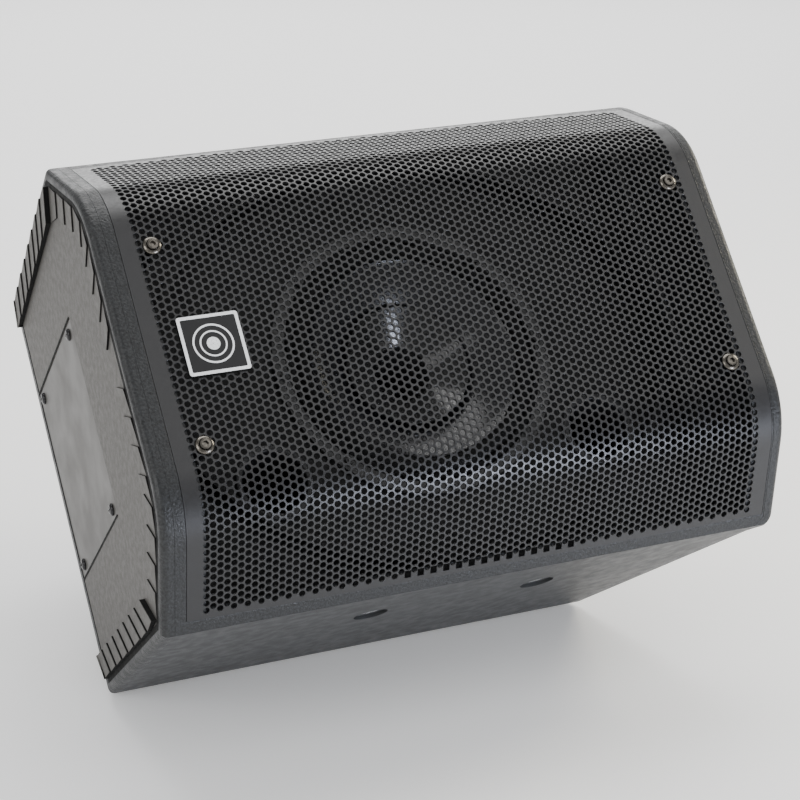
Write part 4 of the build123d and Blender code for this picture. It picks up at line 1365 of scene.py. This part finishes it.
class WEDGE_OT_rear_panel(bpy.types.Operator):
    """Amplifier panel, heat sink, connectors and printed marks"""

    bl_idname = "wedge.rear_panel"
    bl_label = "Rear panel"

    connectors = ("combo_jack_1", "combo_jack_2", "link_socket", "mains_inlet", "switch_frame")
    marks, dial_radius = 11, 11.6 * MM
    dial_start, dial_sweep = math.radians(-60), math.radians(330)
    groups = ((-62, 66, 16, 66), (-52, 57, -54, -12))  # left, right, low, high
    line_width = 0.5
    sockets, socket_row = (-36, 2), -34  # columns and row of the sockets with contacts
    contact_count, contact_radius = 3, 4.4 * MM
    sleeve = ((0.85, -17), (1.6, -17), (1.6, -9), (1.2, -8.6), (0.85, -8.8))  # radius, height

    def execute(self, context):
        softened("amp_panel", "amplifier_panel", coat("panel_paint"), 0.5 * MM, "panel_paint")
        softened("heat_sink", "finned_sink", coat("black_anodised"), 0.25 * MM, "fin_aluminium")
        for node in self.connectors:
            softened(node, node + "_shell", coat("moulded_black"), 0.35 * MM, "black_plastic")
        self.ticks()
        self.contacts()
        return {"FINISHED"}

    def ticks(self):
        """A dial of marks round each knob, and a plain line round each group."""
        tree = ring_tree("Marks round a knob")
        item = pattern_object("dial_mark", prism(rectangle(-1.1, 1.1, -0.22, 0.22), *PRINT))
        for number, (_, column) in enumerate(KNOBS):
            piece = grown(
                f"dial_marks_{number + 1}", tree, REAR, Item=item, Count=self.marks,
                Radius=self.dial_radius, Start=self.dial_start, Sweep=self.dial_sweep,
                Middle=(column * MM, KNOB_ROW * MM, 0), Material=coat("printed_white"),
            )
            place(piece, "panel_paint")
        discard(item)
        lines, thick = bmesh.new(), self.line_width
        for left, right, low, high in self.groups:
            inner = rectangle(left + thick, right - thick, low + thick, high - thick)
            flat_ring(lines, rectangle(left, right, low, high), inner, *PRINT)
        piece_of("panel_lines", lines, REAR, coat("printed_white"), "panel_paint")

    def contacts(self):
        """Three plated sleeves at the bottom of each round socket."""
        tree = ring_tree("Contacts in a socket")
        sleeve = link_object("contact_sleeve", spun(self.sleeve, "contact_sleeve", None, 20))
        for number, column in enumerate(self.sockets):
            piece = grown(
                f"jack_contacts_{number + 1}", tree, REAR, Item=sleeve,
                Count=self.contact_count, Radius=self.contact_radius,
                Start=math.radians(-90), Sweep=2 * math.pi,
                Middle=(column * MM, self.socket_row * MM, 0), Material=coat("nickel_plate"),
            )
            place(piece, "plated_steel")
        discard(sleeve)


class WEDGE_OT_controls(bpy.types.Operator):
    """Knobs with their grip ribs and pointers, rocker and buttons"""

    bl_idname = "wedge.controls"
    bl_label = "Controls"

    rib = ((-0.3, -0.5), (0.35, -0.3), (0.35, 0.3), (-0.3, 0.5))
    rib_count, rib_radius = 22, 7.55 * MM
    rib_span = (3.5 * MM, 13.0 * MM)
    pointer_span = (15.9 * MM, 16.15 * MM)
    keys = (
        ("power_rocker", "rocker"), ("mode_button", "mode_key"),
        ("lift_button", "lift_key"), ("fuse_drawer", "fuse_tray"),
    )

    def execute(self, context):
        tree = ring_tree("Grip ribs")
        outline = [(x * MM, y * MM) for x, y in self.rib]
        item = pattern_object("grip_rib", prism(outline, *self.rib_span))
        for name, column in KNOBS:
            body = name + "_control"
            softened(
                "knob_" + name, "knob_body_" + name, coat("soft_touch"), 0.4 * MM,
                "knob_plastic", body,
            )
            ribs = grown(
                "knob_ribs_" + name, tree, REAR, Item=item, Count=self.rib_count,
                Radius=self.rib_radius, Start=0.0, Sweep=2 * math.pi,
                Middle=(column * MM, KNOB_ROW * MM, 0), Material=coat("soft_touch"),
            )
            place(ribs, "knob_plastic", body=body)
            line = rectangle(column - 0.5, column + 0.5, KNOB_ROW + 2, KNOB_ROW + 6.2)
            piece_of(
                "knob_pointer_" + name, prism(line, *self.pointer_span), REAR,
                coat("printed_white"), "knob_plastic", body=body,
            )
        discard(item)
        for node, body in self.keys:
            softened(
                node, node + "_cap", coat("moulded_black"), 0.4 * MM, "black_plastic", body
            )
        return {"FINISHED"}


class WEDGE_OT_finishes(bpy.types.Operator):
    """Materials of the pieces that are shown as the solid model has them"""

    bl_idname = "wedge.finishes"
    bl_label = "Finishes"

    def execute(self, context):
        for node, name in NODE_FINISHES.items():
            paint(NODES[node], coat(name))
        return {"FINISHED"}


WHITE, COOL, WARM = (1, 1, 1), (0.78, 0.84, 1.0), (1.0, 0.93, 0.76)


class WEDGE_OT_stage(bpy.types.Operator):
    """Floor, soft lights and camera"""

    bl_idname = "wedge.stage"
    bl_label = "Stage"

    # name, place, aim, width, height, power in watts, colour
    lamps = (
        ("left_softbox", (-2.6, -1.1, 1.5), (-0.2, 0.0, 0.2), 1.6, 1.6, 32, WHITE),
        ("overhead_softbox", (0.3, 1.1, 2.4), (0.0, 0.0, 0.2), 2.4, 1.4, 45, WHITE),
        ("rear_softbox", (1.0, 2.3, 0.95), (0.0, 0.0, 0.3), 2.6, 1.0, 30, WHITE),
        ("front_softbox", (0.95, -1.2, 2.3), (0.0, 0.0, 0.2), 1.5, 1.5, 9, WHITE),
        ("low_front_lamp", (0.37, -1.0, 0.1), (0.0, 0.0, 0.25), 0.34, 0.2, 6, COOL),
        ("right_lamp", (1.1, 0.02, 0.76), (0.0, 0.0, 0.25), 0.3, 0.3, 8, WARM),
    )

    floor_half = 30.0
    floor_drop = 0.3 * MM  # keeps the floor clear of the feet
    floor_glow = 0.22
    sky_strength = 0.62
    sensor_width = 36  # millimetres

    def execute(self, context):
        scene = context.scene
        looks = scene.wedge_stage
        floor = bmesh.new()
        bmesh.ops.create_grid(floor, x_segments=1, y_segments=1, size=self.floor_half)
        ground = link_object("stage_floor", mesh_from(floor, "stage_floor"))
        ground.location.z = -self.floor_drop
        surface = Finish(
            "stage_floor", looks.floor_color, 0.6, Emission_Strength=self.floor_glow
        )
        surface.shader.inputs["Emission Color"].default_value = (1, 1, 1, 1)
        paint(ground, surface.material)
        world = bpy.data.worlds.new("stage_world")
        world.use_nodes = True
        background = world.node_tree.nodes["Background"]
        background.inputs["Color"].default_value = (1, 1, 1, 1)
        background.inputs["Strength"].default_value = self.sky_strength
        scene.world = world
        for name, spot, aim, width, height, power, color in self.lamps:
            light = bpy.data.lights.new(name, "AREA")
            light.color = color
            light.shape = "RECTANGLE"
            light.size, light.size_y, light.energy = width, height, power
            lamp = bpy.data.objects.new(name, light)
            scene.collection.objects.link(lamp)
            lamp.location = spot
            lamp.rotation_euler = (Vector(aim) - Vector(spot)).to_track_quat("-Z", "Y").to_euler()
        self.camera(scene, looks)
        return {"FINISHED"}

    def camera(self, scene, looks):
        lens = bpy.data.cameras.new("stage_camera")
        lens.sensor_width = self.sensor_width
        lens.lens = looks.lens
        camera = bpy.data.objects.new("stage_camera", lens)
        scene.collection.objects.link(camera)
        back = Vector((
            math.sin(looks.azimuth) * math.cos(looks.elevation),
            -math.cos(looks.azimuth) * math.cos(looks.elevation),
            math.sin(looks.elevation),
        ))
        turn = back.to_track_quat("Z", "Y").to_matrix() @ Matrix.Rotation(looks.roll, 3, "Z")
        spot = Vector(looks.aim) + back * looks.distance
        camera.matrix_world = Matrix.Translation(spot) @ turn.to_4x4()
        scene.camera = camera


class WEDGE_PT_build(bpy.types.Panel):
    """Everything that can be built and changed"""

    bl_idname = "WEDGE_PT_build"
    bl_label = "Stage monitor wedge"
    bl_space_type = "VIEW_3D"
    bl_region_type = "UI"
    bl_category = "Wedge"

    def draw(self, context):
        for label, group in SETTINGS.items():
            box = self.layout.box()
            settings = getattr(context.scene, label)
            for key in group.__annotations__:
                box.prop(settings, key)
        for operator in OPERATORS:
            self.layout.operator(operator.bl_idname)


OPERATORS = (
    WEDGE_OT_casing, WEDGE_OT_end_panel, WEDGE_OT_grille, WEDGE_OT_screws, WEDGE_OT_badge,
    WEDGE_OT_baffle, WEDGE_OT_driver, WEDGE_OT_feet, WEDGE_OT_handle, WEDGE_OT_rear_panel,
    WEDGE_OT_controls, WEDGE_OT_finishes, WEDGE_OT_stage,
)
SETTINGS = {
    "wedge_cabinet": CabinetLooks, "wedge_grille": GrilleLooks,
    "wedge_driver": DriverLooks, "wedge_stage": StageLooks,
}


def register():
    for group in SETTINGS.values():
        bpy.utils.register_class(group)
    for label, group in SETTINGS.items():
        setattr(bpy.types.Scene, label, PointerProperty(type=group))
    for kind in (*OPERATORS, WEDGE_PT_build):
        bpy.utils.register_class(kind)


def unregister():
    for kind in reversed((*OPERATORS, WEDGE_PT_build)):
        bpy.utils.unregister_class(kind)
    for label in SETTINGS:
        delattr(bpy.types.Scene, label)
    for group in reversed(SETTINGS.values()):
        bpy.utils.unregister_class(group)


def main():
    register()
    for operator in OPERATORS:
        section, action = operator.bl_idname.split(".")
        getattr(getattr(bpy.ops, section), action)()


if __name__ == "__main__":
    main()
